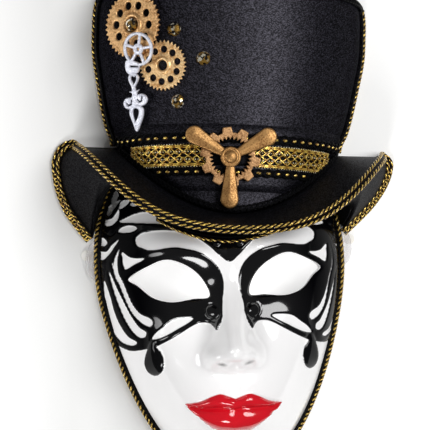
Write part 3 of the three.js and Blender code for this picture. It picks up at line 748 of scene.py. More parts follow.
@dataclass(frozen=True)
class ClearPlastic:
    """Thin injection-moulded polypropylene: milky, lets some light through, with faint flow lines."""

    name: str
    colour: str
    clear: float  # share of the light that passes through
    cloud: float = 3.8462  # mm

    def material(self) -> bpy.types.Material:
        """Clouds and flow lines from the piece's own coordinates.

        Returns:
            The material.
        """
        material, tree, shader, place = new_material(self.name)
        cloud = add_node(tree, "TexNoise", Vector=place["Object"], Scale=MM / self.cloud, Detail=2.0)
        colour = add_node(tree, "Mix", COLOURS, i0=cloud, i6=linear(self.colour), i7=linear("ffffff"))
        relief = add_node(tree, "Bump", Height=cloud, Strength=0.15, Distance=0.0003)
        fill(shader, Base_Color=colour.outputs[2], Roughness=0.2, IOR=1.3, Transmission_Weight=self.clear)
        fill(shader, Normal=relief)
        return material


@dataclass(frozen=True)
class LitFloor:
    """Opal acrylic sheet with a painted glow: brightest behind the eye holes and climbing to both sides."""

    grain: float = 1.1111  # mm
    # The painted glow's strength in the middle, and how far it reaches
    spot: float = 0.57
    radius: float = 0.085  # m
    ramps: tuple = ((-0.095, -0.135, 0.2), (-0.03, 0.08, 0.25))  # m across where each starts and ends, and its glow

    def material(self) -> bpy.types.Material:
        """The painted glow is a soft spot in the floor's middle and a ramp that climbs to each side.

        Returns:
            The material.
        """
        material, tree, shader, place = new_material("opal acrylic sheet")
        where = place["Object"]
        grain = add_node(tree, "TexNoise", Vector=where, Scale=MM / self.grain)
        colour = add_node(tree, "Mix", COLOURS, i0=grain, i6=linear("efefee"), i7=linear("f2f2f1"))
        far = add_node(tree, "Mapping", Vector=where, Scale=(1 / self.radius, 1.6 / self.radius, 1))
        ball = add_node(tree, "TexGradient", {"gradient_type": "SPHERICAL"}, Vector=far)
        middle = add_node(tree, "MapRange", i0=ball, i1=0.0, i2=0.35, i3=0.0, i4=self.spot)
        across = add_node(tree, "SeparateXYZ", Vector=where)
        glow = middle
        for start, end, strength in self.ramps:
            side = add_node(tree, "MapRange", i0=across, i1=start, i2=end, i3=0.0, i4=strength)
            glow = add_node(tree, "Math", {"operation": "MAXIMUM"}, i0=glow, i1=side)
        fill(shader, Base_Color=colour.outputs[2], Roughness=0.9, Specular_IOR_Level=0.1)
        fill(shader, Emission_Color=(1, 1, 1, 1), Emission_Strength=glow)
        return material


class Finishes:
    """Every finish on the mask, made once."""

    def __init__(self) -> None:
        """Makes the materials."""
        self.face = MouldedFace().material()
        self.satin = Satin().material("black satin")
        # The satin under the brim is a darker copy, painted shade, and also serves the black woven cores and lace
        # ground; the brim's top gets a lighter copy, painted sheen
        self.black_weave_and_brim_shade = Satin("030304", "0b0b0d", shine=0.06, sides=1.0).material("black satin, under the brim")
        self.lit_brim_top = Satin("050506", "17171c", shine=0.13, sides=1.0).material("black satin, on the brim")
        self.ribbon = Satin("060608", "222129", shine=0.3).material("black satin ribbon")
        # Each thread's second colour is its painted shade where the plies dive
        self.gold_thread = Thread(
            "gold metallised cord", "ffda6c", "7a4a0c", metallic=0.55, roughness=0.22, ply=0.9, dark=0.04, film=0.7
        ).material()
        self.black_thread = Thread("black rayon cord", "08080a", "020203", roughness=0.45, shine=0.22).material()
        # The picots' near-white colour is partly a painted highlight on the gold lace
        self.picot_highlight = Thread(
            "pale gold metallised picots", "fffbe6", "e0c470", metallic=0.2, roughness=0.3, dark=0.0
        ).material()
        self.lace = Thread(
            "gold metallised lace", "ffdc70", "946010", metallic=0.7, roughness=0.24, ply=1.6, dark=0.03, film=0.5
        ).material()
        self.bronze = AgedMetal("antique bronze plate", "bd9059", "744b22", metallic=0.75).material()
        self.copper = AgedMetal("oxidised copper plate", "c69a6c", "7c5634", roughness=0.45).material()
        self.tan_gold = AgedMetal("matt tan-gold plate", "f4c890", "b07c48", grain=1.1).material()
        self.pale_gold = AgedMetal("matt pale-gold plate", "ffdca6", "cc965a", grain=1.1).material()
        self.silver = AgedMetal(
            "silver-white plate", "dfe0e9", "b2b5c3", roughness=0.42, metallic=0.35, grain=0.95
        ).material()
        self.crystal = FoiledCrystal().material()
        self.clear = ClearPlastic("milky polypropylene", "f6f3f6", 0.9).material()
        self.button = ClearPlastic("ivory polypropylene", "fbf6ea", 0.0).material()


# The face


@dataclass
class Face:
    """The moulded shell: its outline, its height over the back rim, its eye holes and what is painted on it."""

    middle_y: float = -32.0
    half_height: float = 106.0
    half_width: float = 70.2
    jaw_to_brow: float = 10.3
    inset: float = 3.2
    wall: float = 2.0
    # Height along the midline over the share of the way from the chin (-1) to the top (1)
    dome: tuple = (
        (-1, 78), (-0.85, 76), (-0.7, 72), (-0.55, 69), (-0.37, 65.5), (-0.12, 60.5), (0.1, 61.5), (0.24, 63),
        (0.46, 56), (0.7, 46), (1, 30),
    )
    # Height of the nose's ridge over y
    ridge: tuple = (
        (-72, 0), (-69.5, 3), (-67, 9), (-64, 16.5), (-61, 21), (-57.5, 22.5), (-52, 20.5), (-44, 15.5),
        (-35, 9.5), (-28, 5.5), (-20, 2.3), (-8, 0),
    )
    # Rounded hills: height, below 0 for a hollow, middle's distance from the midline, its y, width and height
    hills: tuple = (
        (5.0, 12.0, -62.5, 4.4, 5.5),  # wings of the nose
        (-2.4, 7.4, -65.4, 2.4, 1.4),  # nostrils
        (-6.0, 32.0, -20.0, 19.0, 13.0),  # eye sockets
        (-4.0, 17.0, -24.0, 7.0, 8.0),  # their inner corners
        (3.5, 30.0, -3.0, 22.0, 8.0),  # brows
        (3.0, 44.0, -46.0, 17.0, 15.0),  # cheekbones
        (4.0, 0.0, -86.0, 24.0, 18.0),  # muzzle
        (6.0, 0.0, -121.0, 17.0, 11.0),  # chin
        (-3.0, 0.0, -107.5, 18.0, 4.5),  # fold over the chin
        (-1.2, 0.0, -76.0, 2.8, 5.0),  # groove under the nose
    )
    # Painted shade in the nostril slits: the black ink is brought to grey there
    painted_nostril_shadow: tuple = (7.4, -65.6, 2.2, 0.8, 0.25)  # the dark slit: middle's x and y, half sizes, slope
    eye: tuple = (
        (54, -17.8), (43, -10.8), (33, -7.5), (22, -11.5), (13.8, -19.5), (10.8, -29.2), (20, -30.2),
        (32, -31.2), (42, -28), (49.5, -21.5),
    )
    # Edges of the lips over the distance from the mouth's middle
    lip_x: float = -1.0
    lip_y: float = -90.0
    lip_turn: float = -2.6
    lip_half: float = 26.8
    lip_top: tuple = ((0, -84.9), (3.5, -83.6), (8.0, -82.3), (12.5, -83.7), (19, -86.7), (26.8, -88.5))
    lip_parting: tuple = ((0, -91.8), (5, -90.8), (11, -90.9), (18, -90.4), (26.8, -88.6))
    lip_bottom: tuple = (
        (0, -104.4), (7, -103.8), (11.4, -102), (16, -98.6), (20.2, -94.4), (24.4, -90.8), (26.8, -88.7),
    )

    def factor(self, height: Array) -> Array:
        """Half width of the outline before its ellipse: wider at the brow than at the jaw."""
        return self.half_width + self.jaw_to_brow * np.tanh(1.6 * height)

    def rim(self, angle: Array, out: float = 0.0) -> Array:
        """Points (x, y) of the outline at angles round it in radians, moved out by a distance."""
        h = np.sin(angle)
        return np.stack([(self.factor(h) + out) * np.cos(angle), self.middle_y + (self.half_height + out) * h], -1)

    def bare_height(self, x: Array, y: Array) -> Array:
        """Height over the back rim without lips and lines.

        A dome, the midline's height times one minus the distance to the rim raised to a high power, with
        the nose's ridge and the rounded hills added.

        Args:
            x: points across the face.
            y: points up the face.

        Returns:
            The heights.
        """
        side = np.abs(x)
        h = (y - self.middle_y) / (self.half_height - self.inset)
        width = self.factor(np.clip(h, -1, 1)) - self.inset
        spread = np.clip(h**2 + (side / width) ** 2, 0, 1)
        dome = smooth_through(self.dome, h) * (1 - spread**1.6) ** 0.8
        ridge_width = 7.5 + 3.5 * np.clip((-y - 15) / 45, 0, 1)
        height = dome + smooth_through(self.ridge, y) * np.exp(-((side / ridge_width) ** 2.1))
        for rise, across, up, width, tall in self.hills:
            height = height + rise * bump(side - across, width, y - up, tall)
        return np.where(spread < 1, np.maximum(height, 0), 0)

    def lips(self, x: Array, y: Array) -> tuple:
        """The lips' height, and the distance to their outline, below 0 on them.

        Each lip swells as half a sine between the parting and its outer edge, less towards the corners,
        and a narrow groove follows the parting. The mouth is turned a little on the face.

        Args:
            x: points across the face.
            y: points up the face.

        Returns:
            The heights and the distances.
        """
        c, s = cos_sin(self.lip_turn)
        x, y = x - self.lip_x, y - self.lip_y
        x, y = x * c + y * s, y * c - x * s + self.lip_y
        side = np.abs(x)
        edges = (self.lip_top, self.lip_parting, self.lip_bottom)
        top, parting, bottom = (smooth_through(edge, side) for edge in edges)
        fade = np.sqrt(np.clip(1 - (side / self.lip_half) ** 3, 0, 1))
        upper = np.clip((y - parting) / np.maximum(top - parting, 0.1), 0, 1)
        lower = np.clip((parting - y) / np.maximum(parting - bottom, 0.1), 0, 1)
        swell = 2.6 * np.sin(math.pi * upper**1.15) + 4.0 * np.sin(math.pi * lower**0.85)
        groove = 1.3 * bump(0 * y, 1, y - parting, 1.3)
        outside = np.maximum(np.maximum(y - top, bottom - y), side - self.lip_half)
        return np.where(side < self.lip_half, fade * (swell - groove), 0), outside * 0.8

    def surface(self, x: Array, y: Array, out: float | Array = 0.0) -> Array:
        """Points on the bare surface, moved out along its normal.

        Args:
            x: points across the face.
            y: points up the face.
            out: how far they are moved.

        Returns:
            The points.
        """
        step = 0.4
        slope_x = (self.bare_height(x + step, y) - self.bare_height(x - step, y)) / (2 * step)
        slope_y = (self.bare_height(x, y + step) - self.bare_height(x, y - step)) / (2 * step)
        normal = unit(np.stack([-slope_x, -slope_y, np.ones_like(x)], -1))
        return np.stack([x, y, self.bare_height(x, y)], -1) + normal * np.asarray(out)[..., None]

    def grid(self) -> tuple:
        """Rows across the face, closest where the lines are painted, and columns closest at the rim.

        Returns:
            x and y of the grid's points, each (rows, columns).
        """
        brow, mouth, reach = 32.0, -92.0, self.half_height - self.inset
        top = brow + (self.middle_y + reach - brow) * (1 - np.linspace(0, 1, 18)[:-1] ** 1.7)
        middle = np.linspace(brow, mouth, 200)
        bottom = mouth - (mouth - self.middle_y + reach) * (1 - (1 - np.linspace(0, 1, 28)[1:]) ** 1.7)
        rows = np.concatenate([top, middle, bottom])
        share = np.linspace(0, 1, 400)
        climb = np.r_[0, np.cumsum(np.hypot(np.diff(share), 0.45 * np.diff((1 - share**3.2) ** 0.8)))]
        half = np.interp(np.linspace(0, climb[-1], 94), climb, share)
        columns = np.r_[-half[:0:-1], half]
        h = (rows - self.middle_y) / reach
        width = (self.factor(h) - self.inset) * np.sqrt(np.clip(1 - h**2, 0, 1))
        return width[:, None] * columns[None], np.repeat(rows[:, None], len(columns), 1)

    def eye_distance(self, x: Array, y: Array) -> Array:
        """Signed distance to the nearer eye hole's edge, below 0 in the hole."""
        return distance_to(rounded(self.eye), np.abs(x), y)

    def build(self, finishes: "Finishes", lines: "Filigree") -> None:
        """Makes the shell: the grid, cut at the eye holes, with a second skin behind it.

        Args:
            finishes: the finishes.
            lines: the filigree that is painted on it.
        """
        x, y = self.grid()
        rows, columns = x.shape
        x, y = x.ravel(), y.ravel()
        ink, raised = lines.distance(x, y)
        lip_height, lips = self.lips(x, y)
        # The nostril slits get painted shade: the ink mark brings them to a soft grey
        across, up, half_long, half_tall, slope = self.painted_nostril_shadow
        aside = np.abs(x) - across
        nostril_shade = np.hypot(aside / half_long, (y - up - slope * aside) / half_tall) - 1
        ink = np.minimum(ink, 0.12 * nostril_shade - 0.02)
        hole = self.eye_distance(x, y)
        # The hole's edge is rolled in by half a millimetre
        edge = -0.5 * np.exp(-np.clip(hole, 0, 9) / 0.6)
        rim = np.abs(np.tile(np.arange(columns), rows) - (columns - 1) / 2) == (columns - 1) / 2
        height = np.where(rim, 0, lip_height + raised + edge)
        quads = grid_faces(rows, columns, flip=True)
        triangles = np.vstack([quads[:, [0, 1, 2]], quads[:, [0, 2, 3]]])
        outer = self.surface(x, y, height)
        inner = self.surface(x, y, -self.wall)
        inner[:, 2] = np.maximum(inner[:, 2], 0)
        outer[:, 2] = np.where(rim, 0, np.maximum(outer[:, 2], 0))
        triangles, (outer, inner, ink, lips) = trimmed(triangles, -hole, [outer, inner, ink, lips])
        skin = two_sided(triangles, outer, inner)
        plain = np.full(len(inner), 9.0)  # mm from any paint
        # The coat thins out from 33 mm off the midline to 48 mm
        dull = np.clip((np.abs(skin.points[:, 0]) - 33) / 15, 0, 1)
        skin.marks = {"ink": np.r_[ink, plain], "lips": np.r_[lips, plain], "dull": dull}
        make_piece("face_shell", skin, [finishes.face], "face")


@dataclass
class Filigree:
    """The black lines round the eyes, drawn as closed outlines on one half and mirrored.

    Outlines give (distance from the midline, height) in mm. The pattern's midline leans a little on the
    shell, as it was painted.
    """

    midline: float = 1.0
    lean: float = 0.023
    enamel: tuple = (0.9, 1.1)  # height of the raised black, and how far in from its edge it is reached
    drop_middle: tuple = (43.3, -65.3)
    drop_half: tuple = (5.2, 13.2, 7.6)  # half width, and half height above and below the middle
    drop_height: float = 2.0
    ground: tuple = (
        (46.5, -1.5), (43.4, -2.8), (39.8, -2.9), (34.4, -2.2), (29, -1.8), (23.2, -2.8), (17.6, -4.2), (12.2, -7),
        (8.4, -10.3), (5.5, -14.8), (4, -20), (4, -25), (5.2, -31.5), (6.2, -40.8), (8.3, -46), (9.7, -47.6),
        (11.2, -45.6), (13.2, -43.8), (18.3, -43.6), (22.7, -45.4), (27.5, -48.2), (33, -51.4), (39.4, -54.8),
        (43, -56.5), (46.6, -57.5), (50.8, -58.7), (56, -59.3), (61.2, -57.4), (67, -53), (78, -45), (82, -20),
        (82, 5), (78, 30), (66, 50), (45, 60), (20, 64), (-10, 64), (-6, -5), (0, -10.9), (5.4, -7.2), (10.8, -2),
        (17.7, 3.1), (23, 5.4), (29, 6.9), (36, 7.4), (41.5, 7), (46.5, 5.9), (49.2, 3.4), (49.2, 1), (48.2, -0.8),
    )
    leaves: tuple = (
        ((57.1, 13.1), (53.2, 15.2), (48.7, 17), (42.2, 17.9), (38, 16.2), (34.5, 13.8), (29.4, 10.9),
         (35.8, 11.2), (42.7, 11.7), (50.2, 12.3)),
        ((58.1, 7.6), (56.3, 9.7), (52.5, 10.7), (48.8, 10), (48.3, 8.9), (51.1, 7.3)),
        ((57.8, 31.2), (56.4, 28.5), (60.2, 22.3), (60.3, 27)),
        ((63.6, 20.3), (62.8, 16.5), (60.4, 19.5), (55.6, 25.5)),
        ((64.3, 11.1), (64.6, 14), (61.3, 15), (58.3, 18.3), (57.1, 19.9), (57.4, 16), (60.4, 12.1)),
        ((56.5, 20.4), (55.7, 23.8), (53.4, 25.2), (50.8, 24.8), (52.6, 22.5)),
        ((50.4, 22.5), (48.7, 24), (43.9, 22.6), (49.9, 21.6)),
        ((66.9, 4.4), (64.6, 1.8), (66.2, -0.2), (68.2, 0.6)),
        ((58.4, 3.1), (62.4, -0.2), (65.3, -3.5), (69.5, -3.5), (69.5, -6.5), (67.8, -8), (64.9, -5.8),
         (61.4, -1.3)),
        ((58.5, -2.4), (60.9, -6.9), (61.9, -12), (61, -18.4), (59.1, -21.6), (59.6, -16), (60.2, -11),
         (59.6, -6.5)),
        ((62.8, -9.5), (60, -15.5), (57.3, -21.5), (55.2, -28.2), (52.9, -33.7), (49.6, -38), (44.7, -40.5),
         (43.2, -42.4), (44.4, -44.8), (46.8, -44.2), (50.3, -41.5), (53.8, -37), (56.5, -30.5), (58.8, -23.5),
         (61.2, -16.5)),
        ((64.6, -14.5), (61.4, -23), (58.6, -30), (53.9, -40.3), (50, -46), (47.3, -47.8), (47.4, -50.5),
         (49.8, -51.2), (52.9, -49), (57, -42.3), (60.1, -34), (62.6, -25)),
        ((67.4, -20), (64.8, -29), (63.2, -37), (60.6, -44.5), (56.5, -51.2), (52, -54.3), (54.3, -56),
         (59.7, -54.6), (63.8, -49.3), (66, -42.5), (67.4, -33)),
        ((43.9, -51.8), (41.6, -48.4), (37.6, -45.2), (32.6, -41.6), (27, -40.6), (21.6, -41), (24.6, -43.3),
         (30, -46.2), (34.6, -48.8), (40, -51.2)),
    )
    corner: tuple = (
        (57, -3.9), (56.9, -7), (56.6, -10.9), (55.8, -13.2), (51.5, -10.8), (46.6, -8.3), (45.6, -7.4),
        (49.6, -7.4), (53.2, -6.7),
    )
    knobs: tuple = (((11.2, -37.6), 3.5, 1.5), ((6.3, -0.4), 2.0, 0.8), ((62.6, 8.6), 2.6, 0.9))
    drop: tuple = (
        (44.2, -52.5), (46, -56.5), (47.9, -61.5), (48.1, -66), (46.4, -70.5), (43, -72.6), (39.6, -70.5),
        (38.2, -66), (38.8, -60.7), (41.4, -56),
    )

    def distance(self, x: Array, y: Array) -> tuple:
        """Distance to the black, and the height that it stands over the white.

        Black is the ground less the leaves, with the drop under each eye. It rises over its first
        millimetre as a quarter circle. The drop and the small knobs are half ellipsoids on top, the drop
        narrower towards its point. The leaves near the rim are thinner on the wearer's left.

        Args:
            x: points across the face.
            y: points up the face.

        Returns:
            The distance in mm, below 0 on black, and the height in mm.
        """
        a, u = np.abs(x - self.midline), y + self.lean * x
        ink = distance_to(rounded(self.ground, 400), a, u)
        thinner = np.where(x > 0, 0.85, 0.0) * np.clip((a - 52) / 5, 0, 1)
        for leaf in self.leaves:
            ink = np.maximum(ink, -distance_to(rounded(leaf), a, u) - thinner)
        ink = np.maximum(ink, -distance_to(rounded(self.corner), a, u))
        drop = distance_to(rounded(self.drop), a, u)
        ink = np.minimum(ink, drop)
        edge = np.clip(-ink / self.enamel[1], 0, 1)
        raised = self.enamel[0] * np.sqrt(1 - (1 - edge) ** 2)
        (across, up), (half, above, below) = self.drop_middle, self.drop_half
        rise = (u - up) / np.where(u > up, above, below)
        breadth = half * np.sqrt(np.clip(1 - rise**2, 1e-6, 1)) * (1 - 0.38 * np.clip(rise, 0, 1))
        full = np.clip(1 - rise**2, 0, 1) * np.clip(1 - ((a - across) / breadth) ** 2, 0, 1)
        raised += self.drop_height * full**0.7
        for (across, up), radius, height in self.knobs:
            far = np.hypot(a - across, u - up) / radius
            groove = 0.35 * np.exp(-(((far - 1.15) / 0.16) ** 2))
            raised += height * (np.sqrt(np.clip(1 - far**2, 0, 1)) - groove)
        return ink, raised


# Trims


@dataclass
class Track:
    """A flat trim's path: its centre line, the direction of its width and its outward normal."""

    centre: Array
    across: Array
    out: Array

    def even(self, step: float) -> "Track":
        """The same path with its points one step apart.

        Args:
            step: the step in mm.

        Returns:
            The path.
        """
        s = lengths_along(self.centre)
        at = np.linspace(0, s[-1], max(int(s[-1] / step), 4))
        lines = (self.centre, self.across, self.out)
        read = [np.stack([np.interp(at, s, line[:, k]) for k in range(3)], -1) for line in lines]
        return Track(read[0], unit(read[1]), unit(read[2]))

    def shifted(self, across: float | Array, out: float | Array) -> Array:
        """The centre line moved sideways and outwards."""
        return self.centre + self.across * np.reshape(across, (-1, 1)) + self.out * np.reshape(out, (-1, 1))


class Weave(Enum):
    """How a trim is worked."""

    BRAID = "gold ropes along both edges of a black core"
    RIM_BRAID = "an open gold rope along one edge, looped black cords along the other"
    EDGE_BRAID = "one gold rope and a black cord"
    GIMP = "black cords that cross in a chain of rings"
    DOTTED_GIMP = "the same chain with a gold stitch in every ring"


@dataclass
class Trim:
    """A narrow passementerie trim laid along a track."""

    width: float
    weave: Weave
    lift: float = 0.95  # of the ropes' middles over the track
    strand: float = 0.56
    twist: float = 0.56
    turn: float = 7.8  # mm for one turn of a rope
    stitch: float = 5.6
    comb: float = 0.0  # mm at each end where gold threads cross the core
    foot: float = 0.4  # mm that the core reaches below the ropes' middles
    inset: float = 0.85  # mm from the trim's edge to a rope's middle
    margin: float = 0.8  # mm that the core leaves free at each edge
    thick: float = 0.8  # mm, twice what the core's middle stands over the ropes'

    def rope(self, track: Track, across: float) -> list:
        """Two gold strands wound round each other, with thin black ones in their grooves.

        Args:
            track: the trim's path.
            across: how far to the side the rope lies.

        Returns:
            The strands' skins.
        """
        s = lengths_along(track.centre)
        strands = []
        for k in range(4):
            phase = 2 * math.pi * s / self.turn + k * math.pi / 2
            bright = k % 2 == 0
            less = 1 if bright else 0.95
            swing, radius = self.twist * less, self.strand * less
            path = track.shifted(across + swing * np.cos(phase), self.lift + swing * np.sin(phase))
            strands.append(tube(path, radius, track.out, 6 if bright else 5).painted(0 if bright else 1))
        return strands

    def core(self, track: Track) -> Skin:
        """A flat woven band under the cords, slightly crowned.

        Args:
            track: the trim's path.

        Returns:
            The band's skin.
        """
        half, share = self.width / 2 - self.margin, np.linspace(-1, 1, 5)
        top = np.stack([track.shifted(half * t, self.lift + self.thick * (0.5 - 0.35 * t * t)) for t in share], 1)
        low = np.stack([track.shifted(half * t, self.lift - self.foot) for t in share], 1)
        s = lengths_along(track.centre)
        uv = np.stack(np.broadcast_arrays(s[:, None], (share * half)[None]), -1)
        return wall(top, low, uv=uv).painted(2)

    def rings(self, track: Track) -> list:
        """Two black cords that swing from edge to edge and cross between the rings.

        Args:
            track: the trim's path.

        Returns:
            The cords' skins.
        """
        s = lengths_along(track.centre)
        cords = []
        for sign in (-1, 1):
            wave = np.sin(math.pi * s / self.stitch)
            over = 0.3 * sign * np.cos(math.pi * s / self.stitch)
            swing = sign * (self.width / 2 - 0.7) * np.sign(wave) * np.abs(wave) ** 0.7
            cords.append(tube(track.shifted(swing, self.lift + 0.35 + over), self.strand, track.out).painted(1))
        return cords

    def scallops(self, track: Track, across: float) -> list:
        """Two narrow black cords that wind round each other in small loops.

        Args:
            track: the trim's path.
            across: how far to the side they lie.

        Returns:
            The cords' skins.
        """
        loops, swing, radius = 3.4, 0.62, 0.46  # mm
        wave = swing * np.sin(2 * math.pi * lengths_along(track.centre) / loops)
        paths = [track.shifted(across + sign * wave, self.lift + 0.2) for sign in (-1, 1)]
        return [tube(path, radius, track.out).painted(1) for path in paths]

    def stitches(self, track: Track, step: float, radii: tuple, start: float, stop: float) -> Skin:
        """Gold stitches at even steps over part of the track.

        Args:
            track: the trim's path.
            step: from one stitch to the next.
            radii: a stitch's half sizes along the trim, across it and out of it.
            start: where on the path the first one lies.
            stop: where they end.

        Returns:
            One skin of all of them.
        """
        s = lengths_along(track.centre)
        at = np.arange(start, stop, step)
        i = np.searchsorted(s, at).clip(1, len(s) - 2)
        along = unit(track.centre[i + 1] - track.centre[i - 1])
        axes = np.stack([along, track.across[i], track.out[i]], 1)
        return beads(track.shifted(0, self.lift + 0.55)[i], axes, radii).painted(0)

    def build(self, name: str, track: Track, finishes: Finishes, slot: str, node: str) -> None:
        """Works the trim along the track and makes it one piece.

        Args:
            name: the piece's name.
            track: the trim's path.
            finishes: the finishes.
            slot: the record's material slot, which this function does not use.
            node: the solid that it stands for.
        """
        track = track.even(0.45)
        half, end = self.width / 2, lengths_along(track.centre)[-1]
        parts = [self.core(track)]
        if self.weave in (Weave.BRAID, Weave.RIM_BRAID, Weave.EDGE_BRAID):
            parts += self.rope(track, self.inset - half)
        if self.weave is Weave.BRAID:
            parts += self.rope(track, half - self.inset)
        elif self.weave is Weave.RIM_BRAID:
            parts += self.scallops(track, half - 1.3)
        elif self.weave is Weave.EDGE_BRAID:
            parts.append(tube(track.shifted(half - 0.7, self.lift), 0.55, track.out).painted(1))
        else:
            parts += self.rings(track)
        if self.weave is Weave.DOTTED_GIMP:
            parts.append(self.stitches(track, self.stitch, (1.5, 0.8, 0.6), self.stitch / 2, end))
        if self.comb:
            for start, stop in ((0.0, self.comb), (end - self.comb, end)):
                parts.append(self.stitches(track, 2.0, (0.42, half - self.margin, 0.45), start, stop))
        colours = [finishes.gold_thread, finishes.black_thread, finishes.black_weave_and_brim_shade]
        make_piece(name, joined(parts), colours, node)


# The hat


@dataclass
class Hat:
    """Half a top hat: where it sits on the face, its crown, its brim and the bands round it."""

    finishes: Finishes
    face: Face
    x: float = 9.8
    y: float = 54.0
    turn: float = -5.2
    lean: float = 4.5
    crown_x: float = -1.8
    depth: float = 57.0
    crown_wall: float = 2.5
    top: float = 83.4
    tip: float = 3.0
    seam_side: float = -4.0
    seam_drop: float = 39.2
    half_widths: tuple = (
        (-45, 61.5), (0, 64.2), (10, 68), (30, 72.4), (57, 76.4), (68, 76.4), (76, 75.9), (83.4, 73.6),
    )
    brim_half: float = 87.2
    brim_depth: float = 85.0
    brim_drop: float = 46.6
    tip_drop: float = 3.8
    brim_wall: float = 2.0
    bulge: float = 2.5
    end_tilt: float = 50.0  # degrees that the braid on the brim's ends leans to the front
    ribbon_lift: float = 0.15  # over the gap
    ribbon_thick: float = 0.8
    wing_right: tuple = (
        (98.6, 44.4), (102.9, 39.6), (102.4, 32.8), (99.2, 25.5), (94.8, 19), (88.8, 12.3), (81.2, 5.6),
        (73.6, -0.8),
    )
    wing_left: tuple = (
        (-78.3, 63), (-86.1, 60.2), (-91.2, 52.6), (-91.7, 43), (-90, 32), (-86, 21), (-80.3, 12), (-75, 4.3),
    )
    forehead: tuple = (
        (-53, 35), (-46, 27), (-36, 17.5), (-26, 11), (-12, 5.5), (2, 3.4), (15, 4.2), (28, 7), (42, 10.5),
        (57, 13.8),
    )

    def to_face(self, points: Array) -> Array:
        """Turns points of the hat's frame into the face's."""
        c, s = cos_sin(self.turn)
        return points @ np.array([[c, s, 0], [-s, c, 0], [0, 0, 1]]) + np.array([self.x, self.y, 0])

    def crown(self, across: Array, up: Array, out: float | Array = 0.0) -> Array:
        """Points of the crown's wall.

        Half an ellipse in plan, as wide as the outline says at each height, that climbs as it comes
        forward.

        Args:
            across: angle from the front, in degrees.
            up: height above the brim's ends.
            out: distance off the wall.

        Returns:
            Points in the face's frame.
        """
        across, up, out = np.broadcast_arrays(np.radians(across), up, out)
        z = (self.depth + out) * np.cos(across)
        out = out - 1.0 * np.sin(across) ** 8
        x = self.crown_x + (smooth_through(self.half_widths, up) + out) * np.sin(across)
        return self.to_face(np.stack([x, up + z * math.tan(math.radians(self.lean)), np.maximum(z, 0)], -1))

    def seam(self, across: Array) -> Array:
        """Height of the seam between crown and brim."""
        return self.seam_side - self.seam_drop * np.cos(np.radians(across)) ** 2

    def edge(self, across: Array) -> Array:
        """The brim's front edge: an ellipse in plan that drops towards the front and dips at its ends.

        Args:
            across: angle from the front, in degrees.

        Returns:
            Points in the face's frame.
        """
        a = np.radians(across)
        drop = np.cos(a) ** 2 * (1 + 0.15 * np.sin(2 * a) ** 2)
        y = -self.brim_drop * drop - self.tip_drop * np.sin(a) ** 6
        return self.to_face(np.stack([self.brim_half * np.sin(a), y, self.brim_depth * np.cos(a)], -1))

    def end_edge(self, wing: tuple, count: int, z: float, inset: float = 2.1) -> Array:
        """The back edge of an end of the brim, inside its braid.

        Args:
            wing: the end's outline in the photograph.
            count: how many points to return.
            z: height over the back rim.
            inset: how far inside the outline it lies.

        Returns:
            Points in the face's frame.
        """
        points = np.array(wing)
        step = np.vstack([points[1:], points[-1:]]) - np.vstack([points[:1], points[:-1]])
        inward = unit(np.stack([-step[:, 1], step[:, 0]], -1))
        inward *= np.where(inward[:, :1] * points[:, :1] > 0, -1, 1)
        moved = points + inward * inset
        return curve_through(np.column_stack([moved, np.full(len(moved), z)]), count)

    def under_edge(self) -> tuple:
        """Back edge of the under skin, from the left tip over the forehead to the right tip.

        Returns:
            The angle across that goes with each point, and the points.
        """

        def beside(turn: float, z: float) -> Array:
            """A point just outside the face's rim, at an angle round it in degrees and a height."""
            return np.r_[self.face.rim(np.array(math.radians(turn)), 1.0), z]

        line = np.array(self.forehead)
        ahead = self.face.surface(line[:, 0], line[:, 1], 1.2)
        left = self.end_edge(self.wing_left, 40, 0.0)
        right = self.end_edge(self.wing_right[::-1], 40, 0.0)
        left_side = curve_through(np.array([left[-1], beside(152, 0.3), beside(141, 1), beside(138, 8)]), 16)
        front = curve_through(np.vstack([beside(137, 10), ahead, beside(28, 10)]), 90)
        right_side = curve_through(np.array([beside(26, 8), beside(24, 1.5), right[0]]), 16)
        # Each stretch with the angles across that it runs between
        stretches = ((left, -89, -56), (left_side, -56, -44), (front, -44, 44), (right_side, 44, 56), (right, 56, 89))
        angles = [np.linspace(start, end, len(part)) for part, start, end in stretches]
        return np.concatenate(angles), np.vstack([part for part, _, _ in stretches])

    def brim_sections(self) -> tuple:
        """Sections of the brim and of its inner side.

        Each runs from the seam over the front edge to the under skin's back edge, where the front edge
        is rounded. The inner side is the same line moved in by the skins' thickness, and less where the
        two skins come close.

        Returns:
            Two grids (stations, points, 3) and the grid's texture places.
        """
        across, back = self.under_edge()
        seam = self.crown(across, self.seam(across), -1.2)
        edge = self.edge(across)
        bulge = self.bulge * np.abs(np.sin(np.radians(across)))
        under = (edge + back) / 2
        outward = under - seam
        outward[:, 2] = 0
        reach = np.minimum(1, np.linalg.norm(edge - back, axis=1) / 40)
        under = under + unit(outward) * (bulge * reach)[:, None]
        t = np.linspace(0, 1, 9)[:, None, None]
        top = seam + (edge - seam) * t
        low = edge * (1 - t) ** 2 + 2 * (2 * under - (edge + back) / 2) * t * (1 - t) + back * t**2
        outer = np.concatenate([top[:-1], low]).transpose(1, 0, 2)
        along = unit(np.gradient(outer, axis=1))
        inward = (seam + back)[:, None] / 2 - outer
        inward = inward - (inward * along).sum(-1, keepdims=True) * along
        size = np.linalg.norm(inward, axis=-1, keepdims=True)
        share = np.where(np.arange(17) == 8, 1.8, 1.0)[None, :, None]
        inner = outer + unit(inward) * np.minimum(self.brim_wall * share, 0.6 * size)
        inner[..., 2] = np.maximum(inner[..., 2], 0)
        u = lengths_along(edge)[:, None] + 0 * outer[..., 0]
        v = np.cumsum(np.linalg.norm(np.diff(outer, axis=1, prepend=outer[:, :1]), axis=-1), axis=1)
        return outer, inner, np.stack([u, v], -1)

    def build_crown(self) -> None:
        """The crown's wall and its half tip as one shell."""
        across = np.linspace(-90, 90, 181)
        share = np.linspace(0, 1, 60)

